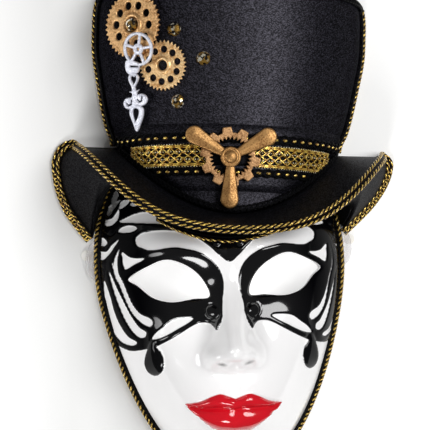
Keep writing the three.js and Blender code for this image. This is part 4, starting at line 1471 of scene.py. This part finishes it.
        def shell(out: float, top: float) -> Array:
            """Rows up the wall and in over the tip.

            Args:
                out: distance off the wall.
                top: height where the tip begins.

            Returns:
                The points.
            """
            base = self.seam(across) + GAP
            up = base[:, None] + (top - base)[:, None] * share[None]
            rows = self.crown(across[:, None], up, out)
            rim = rows[:, -1:]
            axis = self.to_face(np.array([self.crown_x, top, 0.0]))
            tip = rim + (axis - rim) * np.linspace(0, 1, 14)[None, 1:, None]
            return np.concatenate([rows, tip], 1)

        outer, inner = shell(0.0, self.top), shell(-self.crown_wall, self.top - self.tip)
        s = np.radians(across) * 68  # mm round the crown, of about this radius
        up = np.cumsum(np.linalg.norm(np.diff(outer, axis=1, prepend=outer[:, :1]), axis=-1), axis=1)
        uv = np.stack([np.broadcast_to(s[:, None], up.shape), up], -1)
        make_piece("crown_shell", wall(outer, inner, uv=uv), [self.finishes.satin], "hat_crown")

    def build_brim(self) -> None:
        """The brim's two skins as one hollow piece: a lighter copy of the satin, painted sheen, on the top one, and a
        darker copy, painted shade, on the rest.
        """
        outer, inner, uv = self.brim_sections()
        skin = wall(outer, inner, uv=uv).painted(0)
        shown = (len(outer) - 1) * (outer.shape[1] - 1)
        skin.slots[:shown].reshape(len(outer) - 1, -1)[:, :8] = 1
        make_piece("brim_shell", skin, [self.finishes.black_weave_and_brim_shade, self.finishes.lit_brim_top], "hat_brim")

    def band(self, top: Array, bottom: Array, across: Array, start: float, thick: float) -> Skin:
        """A band on the crown's wall between two heights, with rolled edges.

        Args:
            top: height of its upper edge at each angle.
            bottom: height of its lower edge.
            across: the angles from the front, in degrees.
            start: how far its back lies off the wall.
            thick: its thickness.

        Returns:
            The band's skin.
        """
        t = np.linspace(0, 1, 9)
        up = bottom[:, None] + (top - bottom)[:, None] * t[None]
        swell = np.sqrt(1 - np.abs(2 * t - 1) ** 6)
        outer = self.crown(across[:, None], up, start + thick * (0.35 + 0.65 * swell)[None])
        inner = self.crown(across[:, None], up, start)
        uv = np.stack(np.broadcast_arrays(np.radians(across)[:, None] * 64, up), -1)
        return wall(outer, inner, uv=uv)

    def track(self, across: Array, up: Array, out: float | Array) -> Track:
        """A trim's path on the crown's wall.

        Args:
            across: angles from the front, in degrees.
            up: height at each angle.
            out: distance off the wall.

        Returns:
            The path.
        """
        centre = self.crown(across, up, out)
        above, outer = self.crown(across, up + 1, out), self.crown(across, up, out + 1)
        return Track(centre, unit(above - centre), unit(outer - centre))

    def brim_track(self) -> Track:
        """The edge braid's path: round both ends on edge, and tipped down along the front.

        Returns:
            The path.
        """
        up = np.array([0.0, 0.0, 1.0])
        parts = []
        for wing, flip in ((self.wing_left, True), (self.wing_right, False)):
            centre = self.end_edge(wing, 60, 2.5)[2:]
            along = unit(np.gradient(centre, axis=0))
            out = unit(np.cross(along, up))
            out *= np.where((out * (centre - np.array([self.x, 30, 0]))).sum(-1, keepdims=True) < 0, -1, 1)
            c, s = cos_sin(self.end_tilt)
            across, out = up * c - out * s, out * c + up * s
            parts.append([v[::-1] if flip else v for v in (centre, across, out)])
        angle = np.linspace(-84, 84, 180)
        edge = self.edge(angle)
        along = unit(np.gradient(edge, axis=0))
        facing = unit(up - along * along[:, 2:])
        tip = np.radians(42 * np.cos(np.radians(angle)) ** 4)[:, None]
        out = facing * np.cos(tip) + np.cross(along, facing) * np.sin(tip)
        front = (edge + out * 0.8, unit(np.cross(out, along)), out)
        centre, across, out = (np.vstack(lines) for lines in zip(parts[0], front, parts[1]))
        signs = np.cumprod(np.r_[1, np.where((across[1:] * across[:-1]).sum(-1) < 0, -1, 1)])
        return Track(centre, across * signs[:, None], out)

    def build_trims(self) -> None:
        """Braids, ribbon, lace and gimps."""
        edge = Trim(5.0, Weave.BRAID, comb=44.0)
        edge.build("braid_brim_edge", self.brim_track(), self.finishes, "braid", "brim_edge_braid")
        heights = np.linspace(-2, self.top - 3.5, 90)
        braid = Trim(7.0, Weave.RIM_BRAID, strand=0.62, twist=0.85, turn=6.0, foot=1.7)
        for side, word in ((-1, "left"), (1, "right")):
            angles = [side * (90 - math.degrees(math.asin(z / self.depth))) for z in (1.0, 8.2)]
            low, high = (self.crown(angle, heights, 0.0) for angle in angles)
            low = low + self.to_face(np.array([1.6 * side, 0, 0])) - self.to_face(np.zeros(3))
            across = unit(high - low)
            out = unit(np.cross(unit(np.gradient(low, axis=0)), across)) * side
            out = out * np.where(out[:, 2:] < 0, -1, 1)
            track = Track((low + high) / 2 + out * 0.1, across, out)
            braid.build("braid_crown_" + word, track, self.finishes, "braid", "crown_braid_" + word)
        self.build_bands()
        line = curve_through(np.array(self.forehead)[2:8], 60)
        lower, low, higher = (self.face.surface(line[:, 0], line[:, 1] - 2.7 + d, 0.2) for d in (-1, 0, 1))
        out = unit(np.cross(unit(np.gradient(low, axis=0)), higher - lower))
        track = Track(low, unit(higher - lower), out)
        short = Trim(4.2, Weave.EDGE_BRAID, strand=0.44, twist=0.38)
        short.build("braid_forehead", track, self.finishes, "braid", "brim_lower_braid")

    def lay(self, gimp: Trim, name: str, node: str, across: Array, up: Array, out: float | Array) -> None:
        """Lays a black gimp along a line on the crown's wall, in place of its solid."""
        gimp.build(name, self.track(across, up, out), self.finishes, "black_cord", node)

    def build_bands(self) -> None:
        """The ribbon and what is sewn over it, from the crown's base up."""
        across = np.linspace(-80, 80, 161)
        top = np.full(161, 5.2)
        bottom = np.maximum(-31.4, self.seam(across) + 4)
        under = GAP + self.ribbon_lift
        skin = self.band(top, bottom, across, under, self.ribbon_thick)
        ribbon = make_piece("ribbon_band", skin, [self.finishes.ribbon], "ribbon")
        length = lengths_along(self.crown(across, (top + bottom) / 2, GAP)) / MM
        over = under + self.ribbon_thick + GAP - 0.2  # the trims' feet stand 0.4 mm over their path
        angles = np.linspace(-74, 74, 200)
        gimp = Trim(6.4, Weave.DOTTED_GIMP, lift=0.8)
        self.lay(gimp, "gimp_over_lace", "gimp_upper", angles, np.maximum(-2.6, self.seam(angles) + 6.2), over)
        angles = np.linspace(-41, 41, 140)
        gimp = Trim(5.4, Weave.DOTTED_GIMP, lift=0.8)
        self.lay(gimp, "gimp_under_lace", "gimp_lower", angles, np.maximum(-21.2, self.seam(angles) + 6.0), over)
        angles = np.linspace(-72, 72, 200)
        gimp = Trim(4.4, Weave.GIMP, lift=0.4, stitch=3.2)
        self.lay(gimp, "gimp_seam", "seam_gimp", angles, self.seam(angles) + 2.2, 1.6)
        angles = np.linspace(-88.5, 88.5, 240)
        gimp = Trim(4.6, Weave.GIMP, lift=1.0, strand=0.6, stitch=3.2, foot=1.6)
        out = 2.2 * np.abs(angles / 88.5) ** 16  # round the corners, over the braids there
        self.lay(gimp, "gimp_crown_top", "crown_top_gimp", angles, np.full(240, self.top - 2.2), out)
        self.build_lace(over)

    def build_lace(self, over: float) -> None:
        """Gold lace in two lengths that end under the toothed ring, on a black woven ground.

        Each length has a rib along both edges, a lattice of four zigzags over two fine waves, and
        rows of small picots in a near-white gold that is partly painted highlight.

        Args:
            over: how far the lace lies off the crown's wall.
        """
        angles = np.linspace(-58, 58, 700)
        s = np.radians(angles) * 66  # mm round the crown, of about this radius
        low = np.maximum(-18.0, self.seam(angles) + 3.4)
        high = np.full(700, -6.4)
        middle, half = (low + high) / 2, (high - low) / 2
        out = self.track(angles, middle, over).out
        lengths = (angles < -12.3, angles > 8.7)

        def thread(share: Array, lift: Array, radius: float) -> list:
            """A gold thread at a share of the half width from the lace's middle, in both lengths."""
            path = self.crown(angles, middle + half * share, over + lift)
            return [tube(path[part], radius, out[part], 5).painted(0) for part in lengths]

        threads = []
        for side in (-1, 1):
            threads += thread(side * 0.93, 0.55, 0.62) + thread(side * 0.78, 0.45, 0.5)
        for k in range(4):
            phase = s / 10.4 + k / 2
            zigzag = 2 * np.abs(2 * (phase / 2 % 1) - 1) - 1
            threads += thread(0.7 * zigzag, 0.65 + 0.25 * np.cos(2 * math.pi * phase + k * math.pi / 2), 0.46)
        for k in (-1, 1):
            phase = 2 * math.pi * s / 5.2 + k
            threads += thread(0.36 * k + 0.2 * np.sin(phase), 0.35, 0.22)
        at = np.concatenate([np.arange(start, stop, 1.5) for start, stop in ((-57, -13), (9.4, 57))])
        row = np.array([-1.04, -0.36, 0.36, 1.04])
        shift = np.array([0, 0.7, 0, 0.7])
        at, row = (at[:, None] + shift).ravel(), np.tile(row, len(at))
        up = np.interp(at, angles, middle) + np.interp(at, angles, half) * row
        seats = self.track(at, up, over + 0.55)
        axes = np.stack([unit(np.cross(seats.across, seats.out)), seats.across, seats.out], 1)
        picots = beads(seats.centre, axes, (0.42, 0.36, 0.36), 6, 3).painted(2)
        ground = self.band(high - 0.5, low + 0.5, angles, over - 0.1, 0.25).painted(1)
        skin = joined(threads + [ground, picots])
        yarns = [self.finishes.lace, self.finishes.black_weave_and_brim_shade, self.finishes.picot_highlight]
        make_piece("lace", skin, yarns, "lace_band")


# Charms


@dataclass
class Seat:
    """Where a charm stands on the crown: its middle and its directions right, up and out."""

    centre: Array
    axes: Array

    @classmethod
    def on(cls, hat: Hat, across: float, up: float, out: float, turn: float = 0.0, tip: float = 0.0) -> "Seat":
        """A seat at an angle across and a height up, a distance off the wall.

        Args:
            hat: the hat that carries it.
            across: angle from the front in degrees.
            up: height above the brim's ends.
            out: distance off the wall.
            turn: turn in the charm's own plane in degrees.
            tip: how far its lower end leans in towards the wall, in degrees.

        Returns:
            The seat.
        """
        right = unit(hat.crown(across + 1, up) - hat.crown(across - 1, up))
        rise = unit(hat.crown(across, up + 1) - hat.crown(across, up - 1))
        normal = unit(np.cross(right, rise))
        axes = np.stack([right, np.cross(normal, right), normal])
        c, s = cos_sin(tip)
        axes = np.array([[1, 0, 0], [0, c, s], [0, -s, c]]) @ axes
        c, s = cos_sin(turn)
        axes = np.array([[c, s, 0], [-s, c, 0], [0, 0, 1]]) @ axes
        return cls(hat.crown(across, up) + normal * out, axes)

    def place(self, x: Array, y: Array, z: Array) -> Array:
        """Points of the charm's own frame in the face's."""
        return self.centre + np.stack(np.broadcast_arrays(x, y, z), -1) @ self.axes


def cast_plate(
    seat: Seat,
    shape: Callable,
    low: tuple,
    high: tuple,
    step: float,
    thick: float,
    roll: float,
    crown: Callable | None = None,
) -> Skin:
    """A flat casting cut out along the zero line of a distance, with rolled upper edges.

    Args:
        seat: where it stands.
        shape: a function of x and y that gives the distance to the outline, below 0 on the metal.
        low: least x and y of the grid.
        high: greatest x and y.
        step: the grid's spacing.
        thick: thickness in mm.
        roll: radius of the rolled edge.
        crown: a function of x, y and the distance that gives what stands on the plate.

    Returns:
        The casting's skin.
    """
    along, up = (np.arange(least, most + step, step) for least, most in zip(low, high))
    x, y = np.meshgrid(along, up, indexing="ij")
    rows, columns = x.shape
    x, y = x.ravel(), y.ravel()
    level = shape(x, y)
    quads = grid_faces(rows, columns)
    triangles = np.vstack([quads[:, [0, 1, 2]], quads[:, [0, 2, 3]]])
    triangles = triangles[(level[triangles] < 0).any(1)]
    triangles, (x, y, level) = trimmed(triangles, level, [x, y, level])
    used, triangles = np.unique(triangles, return_inverse=True)
    triangles = triangles.reshape(-1, 3)
    x, y, level = x[used], y[used], level[used]
    edge = np.clip(1 + level / roll, 0, 1)
    top = thick - roll * (1 - np.sqrt(1 - edge**2))
    if crown is not None:
        top = top + crown(x, y, level)
    return two_sided(triangles, seat.place(x, y, top), seat.place(x, y, 0 * x))


def ring_wave(x: Array, y: Array, teeth: int, root: float, tip: float, share: float, soft: float) -> Array:
    """Distance to a toothed rim: the radius less that of a wave with straight flanks.

    Args:
        x: points across the plate.
        y: points up the plate.
        teeth: how many teeth.
        root: radius between the teeth.
        tip: radius at their tips.
        share: how much of the rim is teeth.
        soft: how much of it is flanks.

    Returns:
        The distances, below 0 on the metal.
    """
    turn = (np.arctan2(y, x) / (2 * math.pi) * teeth) % 1
    flank = np.clip((share / 2 + soft / 2 - np.abs(turn - 0.5)) / soft, 0, 1)
    return (np.hypot(x, y) - (root + (tip - root) * flank)) * 0.9


def holes_on_ring(x: Array, y: Array, count: int, ring: float, radius: float, start: float) -> Array:
    """Distance to the nearest of a ring of round holes.

    Args:
        x: points across the plate.
        y: points up the plate.
        count: how many holes.
        ring: radius that their middles lie on.
        radius: a hole's radius.
        start: angle of the first one.

    Returns:
        The distances, below 0 in a hole.
    """
    angle = np.arange(count) / count * 2 * math.pi + start
    far = np.hypot(x[:, None] - ring * np.cos(angle), y[:, None] - ring * np.sin(angle)).min(1)
    return far - radius


def bar(x: Array, y: Array, start: tuple, end: tuple, wide: float, narrow: float) -> Array:
    """Distance to a bar with round ends whose half width goes from one value to another.

    Args:
        x: points across the plate.
        y: points up the plate.
        start: the bar's one end.
        end: its other end.
        wide: half width at the start.
        narrow: half width at the end.

    Returns:
        The distances, below 0 on the bar.
    """
    dx, dy = end[0] - start[0], end[1] - start[1]
    t = np.clip(((x - start[0]) * dx + (y - start[1]) * dy) / (dx * dx + dy * dy), 0, 1)
    return np.hypot(x - start[0] - t * dx, y - start[1] - t * dy) - (wide + (narrow - wide) * t)


# The clock hand below its wheel: neck, upper eye, stem with barbs, right scroll, left scroll, leaf
HAND_OUTLINES = (
    ((-7.5, -5.6), (-8.1, -9.4), (-7.2, -11.9), (-5, -13.3), (-2.8, -12.5), (-0.2, -12), (0.8, -9.8),
     (1, -7), (-2.8, -5.6)),
    ((-6.2, -15.1), (-5.3, -13.3), (-3.1, -12.2), (-0.7, -12.9), (0.5, -14.5), (-0.4, -17.3), (-1.7, -19.8),
     (-2.2, -22.1), (-3.5, -22.1), (-4.1, -20), (-5.5, -17.6)),
    ((-3.7, -20.5), (-1.8, -20.4), (-1.2, -21.7), (0.8, -21.1), (-0.5, -22.9), (-0.3, -24.7), (1.8, -26.3),
     (-0.8, -30.2), (-4, -30.2), (-5.3, -27), (-3.6, -24.9), (-3.8, -23.6), (-5.5, -22.8), (-3.8, -22.1)),
    ((6.1, -26.4), (4.9, -28.9), (2.2, -30.1), (-0.6, -29.2), (-1.8, -26.9), (-0.6, -24.5), (2.2, -23.3),
     (4.9, -24.1)),
    ((-1.7, -29), (-2.8, -31.4), (-5.5, -32.5), (-8.2, -31.8), (-9.3, -29.5), (-8.2, -27.1), (-5.5, -26),
     (-2.8, -26.8)),
    ((-5.1, -32.2), (-5.3, -35), (-4, -38.3), (-2.6, -41.2), (-1.7, -43.6), (-0.6, -44.7), (0.5, -43.4),
     (1.7, -40.4), (3.1, -37), (3.7, -33.6), (3.2, -31.2), (-0.8, -29.5), (-4, -30.5)),
)
HAND_HOLES = (
    ((-4.4, -14.5), (-3.4, -13.9), (-2.5, -14.5), (-1.5, -13.8), (-1, -15.1), (-1.7, -17.1), (-2.6, -18.3),
     (-3.6, -17.2), (-4.6, -15.8)),
    ((-3, -32.7), (-2.4, -31.9), (-0.8, -31.7), (0.5, -32.4), (0.7, -34.1), (-0.1, -36.9), (-1.5, -39),
     (-2.6, -37.1), (-3.2, -34.6)),
)
HAND_SLOTS = (
    ((-4.8, -8.7), (0, -8.4)),
    ((2.7, -24.9), (2.4, -27.2), (0.9, -28), (-0.1, -26.8)),
    ((-4, -27.5), (-4.3, -29.7), (-6, -30.5), (-7.2, -29.4)),
)


@dataclass
class Charms:
    """Castings and crystals on the crown."""

    finishes: Finishes
    hat: Hat
    # Angle across, height, radius, teeth, holes, the holes' ring and radius, and the angle of the first
    large: tuple = (-46.2, 60.6, 19.0, 40, 10, 11.0, 2.2, -0.07)
    small: tuple = (-32.3, 37.5, 14.5, 36, 10, 8.9, 1.9, 0.21)
    hand: tuple = (-41.5, 45.8)
    screw: tuple = (-1.8, -12.9)
    crystals: tuple = (("top", -26.4, 57.0), ("middle", -13.9, 41.0), ("low", -26.2, 17.6))
    over: float = 3.25

    def gear(self, seat: Seat, numbers: tuple, base: float, thick: float, bore: float, collar: float) -> Skin:
        """A flat gear: short pointed teeth, a ring of holes and a rounded collar round the bore.

        Args:
            seat: where it stands.
            numbers: radius, teeth, holes, the holes' ring and radius, and the angle of the first.
            base: height of its underside.
            thick: its thickness.
            bore: radius of the hole in its middle.
            collar: radius of the collar.

        Returns:
            The gear's skin.
        """
        radius, teeth, count, ring, hole, start = numbers

        def shape(x: Array, y: Array) -> Array:
            """Distance to the gear's metal."""
            rim = ring_wave(x, y, teeth, radius - 1.9, radius, share=0.3, soft=0.5)
            return np.maximum(np.maximum(rim, -holes_on_ring(x, y, count, ring, hole, start)), bore - np.hypot(x, y))

        def lift(x: Array, y: Array, level: Array) -> Array:
            """Height of the collar round the bore."""
            r = np.hypot(x, y)
            return 1.1 * np.sqrt(np.clip(1 - ((r - (bore + collar) / 2) / ((collar - bore) / 2)) ** 2, 0, 1))

        reach = radius + 0.5
        raised = Seat(seat.centre + seat.axes[2] * base, seat.axes)
        return cast_plate(raised, shape, (-reach, -reach), (reach, reach), 0.3, thick, 0.4, lift)

    def build_gears(self) -> None:
        """The two gears and the domed crystal in the larger one."""
        seat = Seat.on(self.hat, *self.large[:2], GAP)
        plate = self.gear(seat, self.large[2:], base=1.8, thick=1.3, bore=4.1, collar=6.6)
        boss = turned(np.array([[0, 0], [5.2, 0], [5.2, 2.0], [0, 2.0]]), 32, seat.centre, seat.axes)
        make_piece("large_gear", joined([plate, boss]), [self.finishes.tan_gold], "gear_large")
        profile = np.array([[0, 2.1], [3.7, 2.1], [3.9, 3.4], [3.6, 4.4], [2.7, 5.3], [1.4, 5.9], [0, 6.1]])
        stone = turned(profile, 12, seat.centre, seat.axes)
        make_piece("crystal_in_gear", stone, [self.finishes.crystal], "gear_crystal", flat=True)
        seat = Seat.on(self.hat, *self.small[:2], GAP)
        plate = self.gear(seat, self.small[2:], base=0.0, thick=1.1, bore=2.8, collar=4.9)
        make_piece("small_gear", plate, [self.finishes.pale_gold], "gear_small")

    def build_hand(self) -> None:
        """The clock hand and its spoked wheel, one casting."""
        solid, cut = ([rounded(outline) for outline in outlines] for outlines in (HAND_OUTLINES, HAND_HOLES))
        middle, ring, half, hub, bore = 1.1, 8.55, 0.85, 3.1, 0.85  # mm, of the wheel

        def shape(x: Array, y: Array) -> Array:
            """Distance to the casting's metal, the nearest of its parts less its holes and slots.

            Args:
                x: points across the casting.
                y: points up the casting.

            Returns:
                The distances, below 0 on the metal.
            """
            body = np.min([distance_to(outline, x, y) for outline in solid], axis=0)
            for outline in cut:
                body = np.maximum(body, -distance_to(outline, x, y))
            for line in HAND_SLOTS:
                for start, end in zip(line[:-1], line[1:]):
                    body = np.maximum(body, -bar(x, y, start, end, 0.42, 0.36))
            r = np.hypot(x, y - middle)
            parts = [body, np.abs(r - ring) - half, np.maximum(r - hub, bore - r)]
            for turn in (82, 12, -62, -122, 166):
                c, s = cos_sin(turn)
                start, end = ((far * c, middle + far * s) for far in (2.2, 8.2))
                parts.append(bar(x, y, start, end, 0.72, 0.85))
            return np.min(parts, axis=0)

        seat = Seat.on(self.hat, *self.hand, 6.0, turn=-6.5, tip=6.0)
        skin = cast_plate(seat, shape, (-10.4, -45.4), (10.4, 11.2), 0.24, 1.4, 0.55)
        make_piece("hand_and_wheel", skin, [self.finishes.silver], "clock_hand")

    def build_screw(self) -> None:
        """The propeller and the toothed ring behind it."""

        def ring(x: Array, y: Array) -> Array:
            """Distance to the toothed ring, with short teeth inside too."""
            inner = ring_wave(x, y, 30, 9.4, 11.4, share=0.5, soft=0.45)
            return np.maximum(ring_wave(x, y, 10, 13.6, 16.5, share=0.56, soft=0.12), -inner)

        seat = Seat.on(self.hat, *self.screw, self.over, turn=8.5)
        skin = cast_plate(seat, ring, (-17, -17), (17, 17), 0.28, 1.5, 0.45)
        make_piece("toothed_ring", skin, [self.finishes.copper], "cog_ring")

        def blades(x: Array, y: Array) -> Array:
            """Distance to the three blades, each a paddle that widens to a round end."""
            lines = [(x * c + y * s, y * c - x * s) for c, s in map(cos_sin, (-90, 30, 150))]
            return np.min([bar(u, v, (3.0, 0), (23.0, 0), 2.0, 4.95) for u, v in lines], axis=0)

        def camber(x: Array, y: Array, level: Array) -> Array:
            """The blades rise a little towards their midlines."""
            return 0.16 * np.clip(-level, 0, 4)

        seat = Seat.on(self.hat, *self.screw, self.over + 1.5 + GAP)
        skin = cast_plate(seat, blades, (-28, -28.2), (28, 18), 0.34, 1.6, 0.8, camber)
        hub = np.array([[0, 0], [5.4, 0], [5.6, 1.2], [5.5, 2.6], [5.0, 3.1], [4.2, 3.0], [3.7, 2.7], [3.55, 3.2]])
        dome = [[3.5 * math.cos(a), 3.2 + 1.9 * math.sin(a)] for a in np.linspace(0, math.pi / 2, 9)]
        boss = turned(np.vstack([hub, dome]), 40, seat.centre, seat.axes)
        make_piece("screw", joined([skin, boss]), [self.finishes.bronze], "propeller")

    def build_crystals(self) -> None:
        """Loose faceted crystals glued on the satin."""
        profile = np.array([[0, 0], [3.5, 0], [3.95, 0.8], [3.3, 1.9], [2.2, 2.8], [0, 2.95]])
        for place, across, up in self.crystals:
            seat = Seat.on(self.hat, across, up, GAP)
            skin = turned(profile, 12, seat.centre, seat.axes)
            make_piece("stone_" + place, skin, [self.finishes.crystal], "crystal_" + place, flat=True)


# Fittings and setting


@dataclass
class Fittings:
    """The face's rim braid and the clear lugs beside it."""

    finishes: Finishes
    face: Face

    def build(self) -> None:
        """Lays the rim braid, and dresses the lugs and buttons that stay as they are."""
        angle = np.radians(np.linspace(138.5, 386.5, 500))
        low = np.column_stack([self.face.rim(angle, 0.0), np.full(500, 2.6)])
        near = self.face.rim(angle, -self.face.inset - 0.9)
        lift = self.face.bare_height(near[:, 0], near[:, 1]) + 1.4
        high = np.column_stack([self.face.rim(angle, -self.face.inset - 0.3), lift])
        across = unit(high - low)
        along = unit(np.gradient((low + high) / 2, axis=0))
        out = unit(np.cross(along, across))
        out *= np.where(out[:, 2:] < 0, -1, 1)
        track = Track((low + high) / 2 - out * 2.15 - across * 0.2, across, out)
        braid = Trim(5.4, Weave.RIM_BRAID, strand=0.66, twist=0.9, turn=6.0)
        braid.build("braid_face_edge", track, self.finishes, "braid", "face_edge_braid")
        for side in ("left", "right"):
            for node, finish in (("tab_", self.finishes.clear), ("button_", self.finishes.button)):
                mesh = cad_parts[node + side].data
                mesh.materials.clear()
                mesh.materials.append(finish)


@dataclass
class Studio:
    """A softly lit floor, round lamps and the camera of the photograph."""

    distance: float = 1100.0
    mm_per_pixel: float = 0.56
    yaw: float = -4.2
    roll: float = 3.6
    target: tuple = (-3.0, 15.0, 30.0)
    floor: float = 280.0  # mm from its middle to its sides
    sky: float = 0.13
    # Name, place and size in metres, and power in watts
    lamps: tuple = (
        ("key", (0.66, 0.22, 1.2), 0.75, 13.6),
        ("low", (-0.35, -0.95, 0.85), 0.4, 6.0),
        ("left", (-1.25, -0.15, 0.5), 0.5, 4.9),
    )

    def camera(self) -> None:
        """Sets the camera over the mask, turned and rolled as the photograph shows it."""
        c, s = cos_sin(self.yaw)
        back = np.array([s, 0.0, c])
        right = unit(np.cross([0.0, 1.0, 0.0], back))
        up = np.cross(back, right)
        c, s = cos_sin(self.roll)
        right, up = c * right - s * up, s * right + c * up
        data = bpy.data.cameras.new("camera")
        data.sensor_width = 36.0
        data.lens = self.distance / self.mm_per_pixel * data.sensor_width / IMAGE_WIDTH
        data.clip_end = 20
        camera = bpy.data.objects.new("camera", data)
        place = (np.array(self.target) + back * self.distance + SHIFT) / MM
        turn = np.stack([right, up, back, place], -1)
        camera.matrix_world = Matrix([*turn.tolist(), [0, 0, 0, 1]])
        bpy.context.scene.collection.objects.link(camera)
        bpy.context.scene.camera = camera

    def lamp(self, name: str, place: tuple, size: float, power: float) -> None:
        """A round soft light that faces the mask.

        Args:
            name: its name.
            place: where it stands, in metres.
            size: how wide it is, in metres.
            power: its power in watts.
        """
        data = bpy.data.lights.new(name, "AREA")
        data.shape, data.size, data.energy = "DISK", size, power
        light = bpy.data.objects.new(name, data)
        back = unit(np.array(place) - np.array([0, 0, 0.03]))
        right = unit(np.cross([0.0, 1.0, 0.001], back))
        turn = np.stack([right, np.cross(back, right), back, np.array(place)], -1)
        light.matrix_world = Matrix([*turn.tolist(), [0, 0, 0, 1]])
        bpy.context.scene.collection.objects.link(light)

    def build(self) -> None:
        """Floor, lights, sky and camera."""
        corners = np.array([[-1, -1, 0], [1, -1, 0], [1, 1, 0], [-1, 1, 0]]) * self.floor / MM
        mesh = bpy.data.meshes.new("floor")
        mesh.from_pydata(corners.tolist(), [], [(0, 1, 2, 3)])
        mesh.materials.append(LitFloor().material())
        floor = bpy.data.objects.new("floor", mesh)
        bpy.context.scene.collection.objects.link(floor)
        for lamp in self.lamps:
            self.lamp(*lamp)
        world = bpy.data.worlds.new("studio")
        world.use_nodes = True
        sky = world.node_tree.nodes["Background"]
        sky.inputs[0].default_value = (1, 1, 1, 1)
        sky.inputs[1].default_value = self.sky
        bpy.context.scene.world = world
        bpy.context.scene.view_settings.view_transform = "Standard"
        self.camera()


def main() -> None:
    """Builds the mask from the face out, then its setting."""
    logging.basicConfig(level=logging.INFO, format="%(name)s: %(message)s")
    finishes = Finishes()
    face = Face()
    face.build(finishes, Filigree())
    hat = Hat(finishes, face)
    hat.build_crown()
    hat.build_brim()
    hat.build_trims()
    charms = Charms(finishes, hat)
    charms.build_gears()
    charms.build_hand()
    charms.build_screw()
    charms.build_crystals()
    Fittings(finishes, face).build()
    Studio().build()


if __name__ == "__main__":
    main()
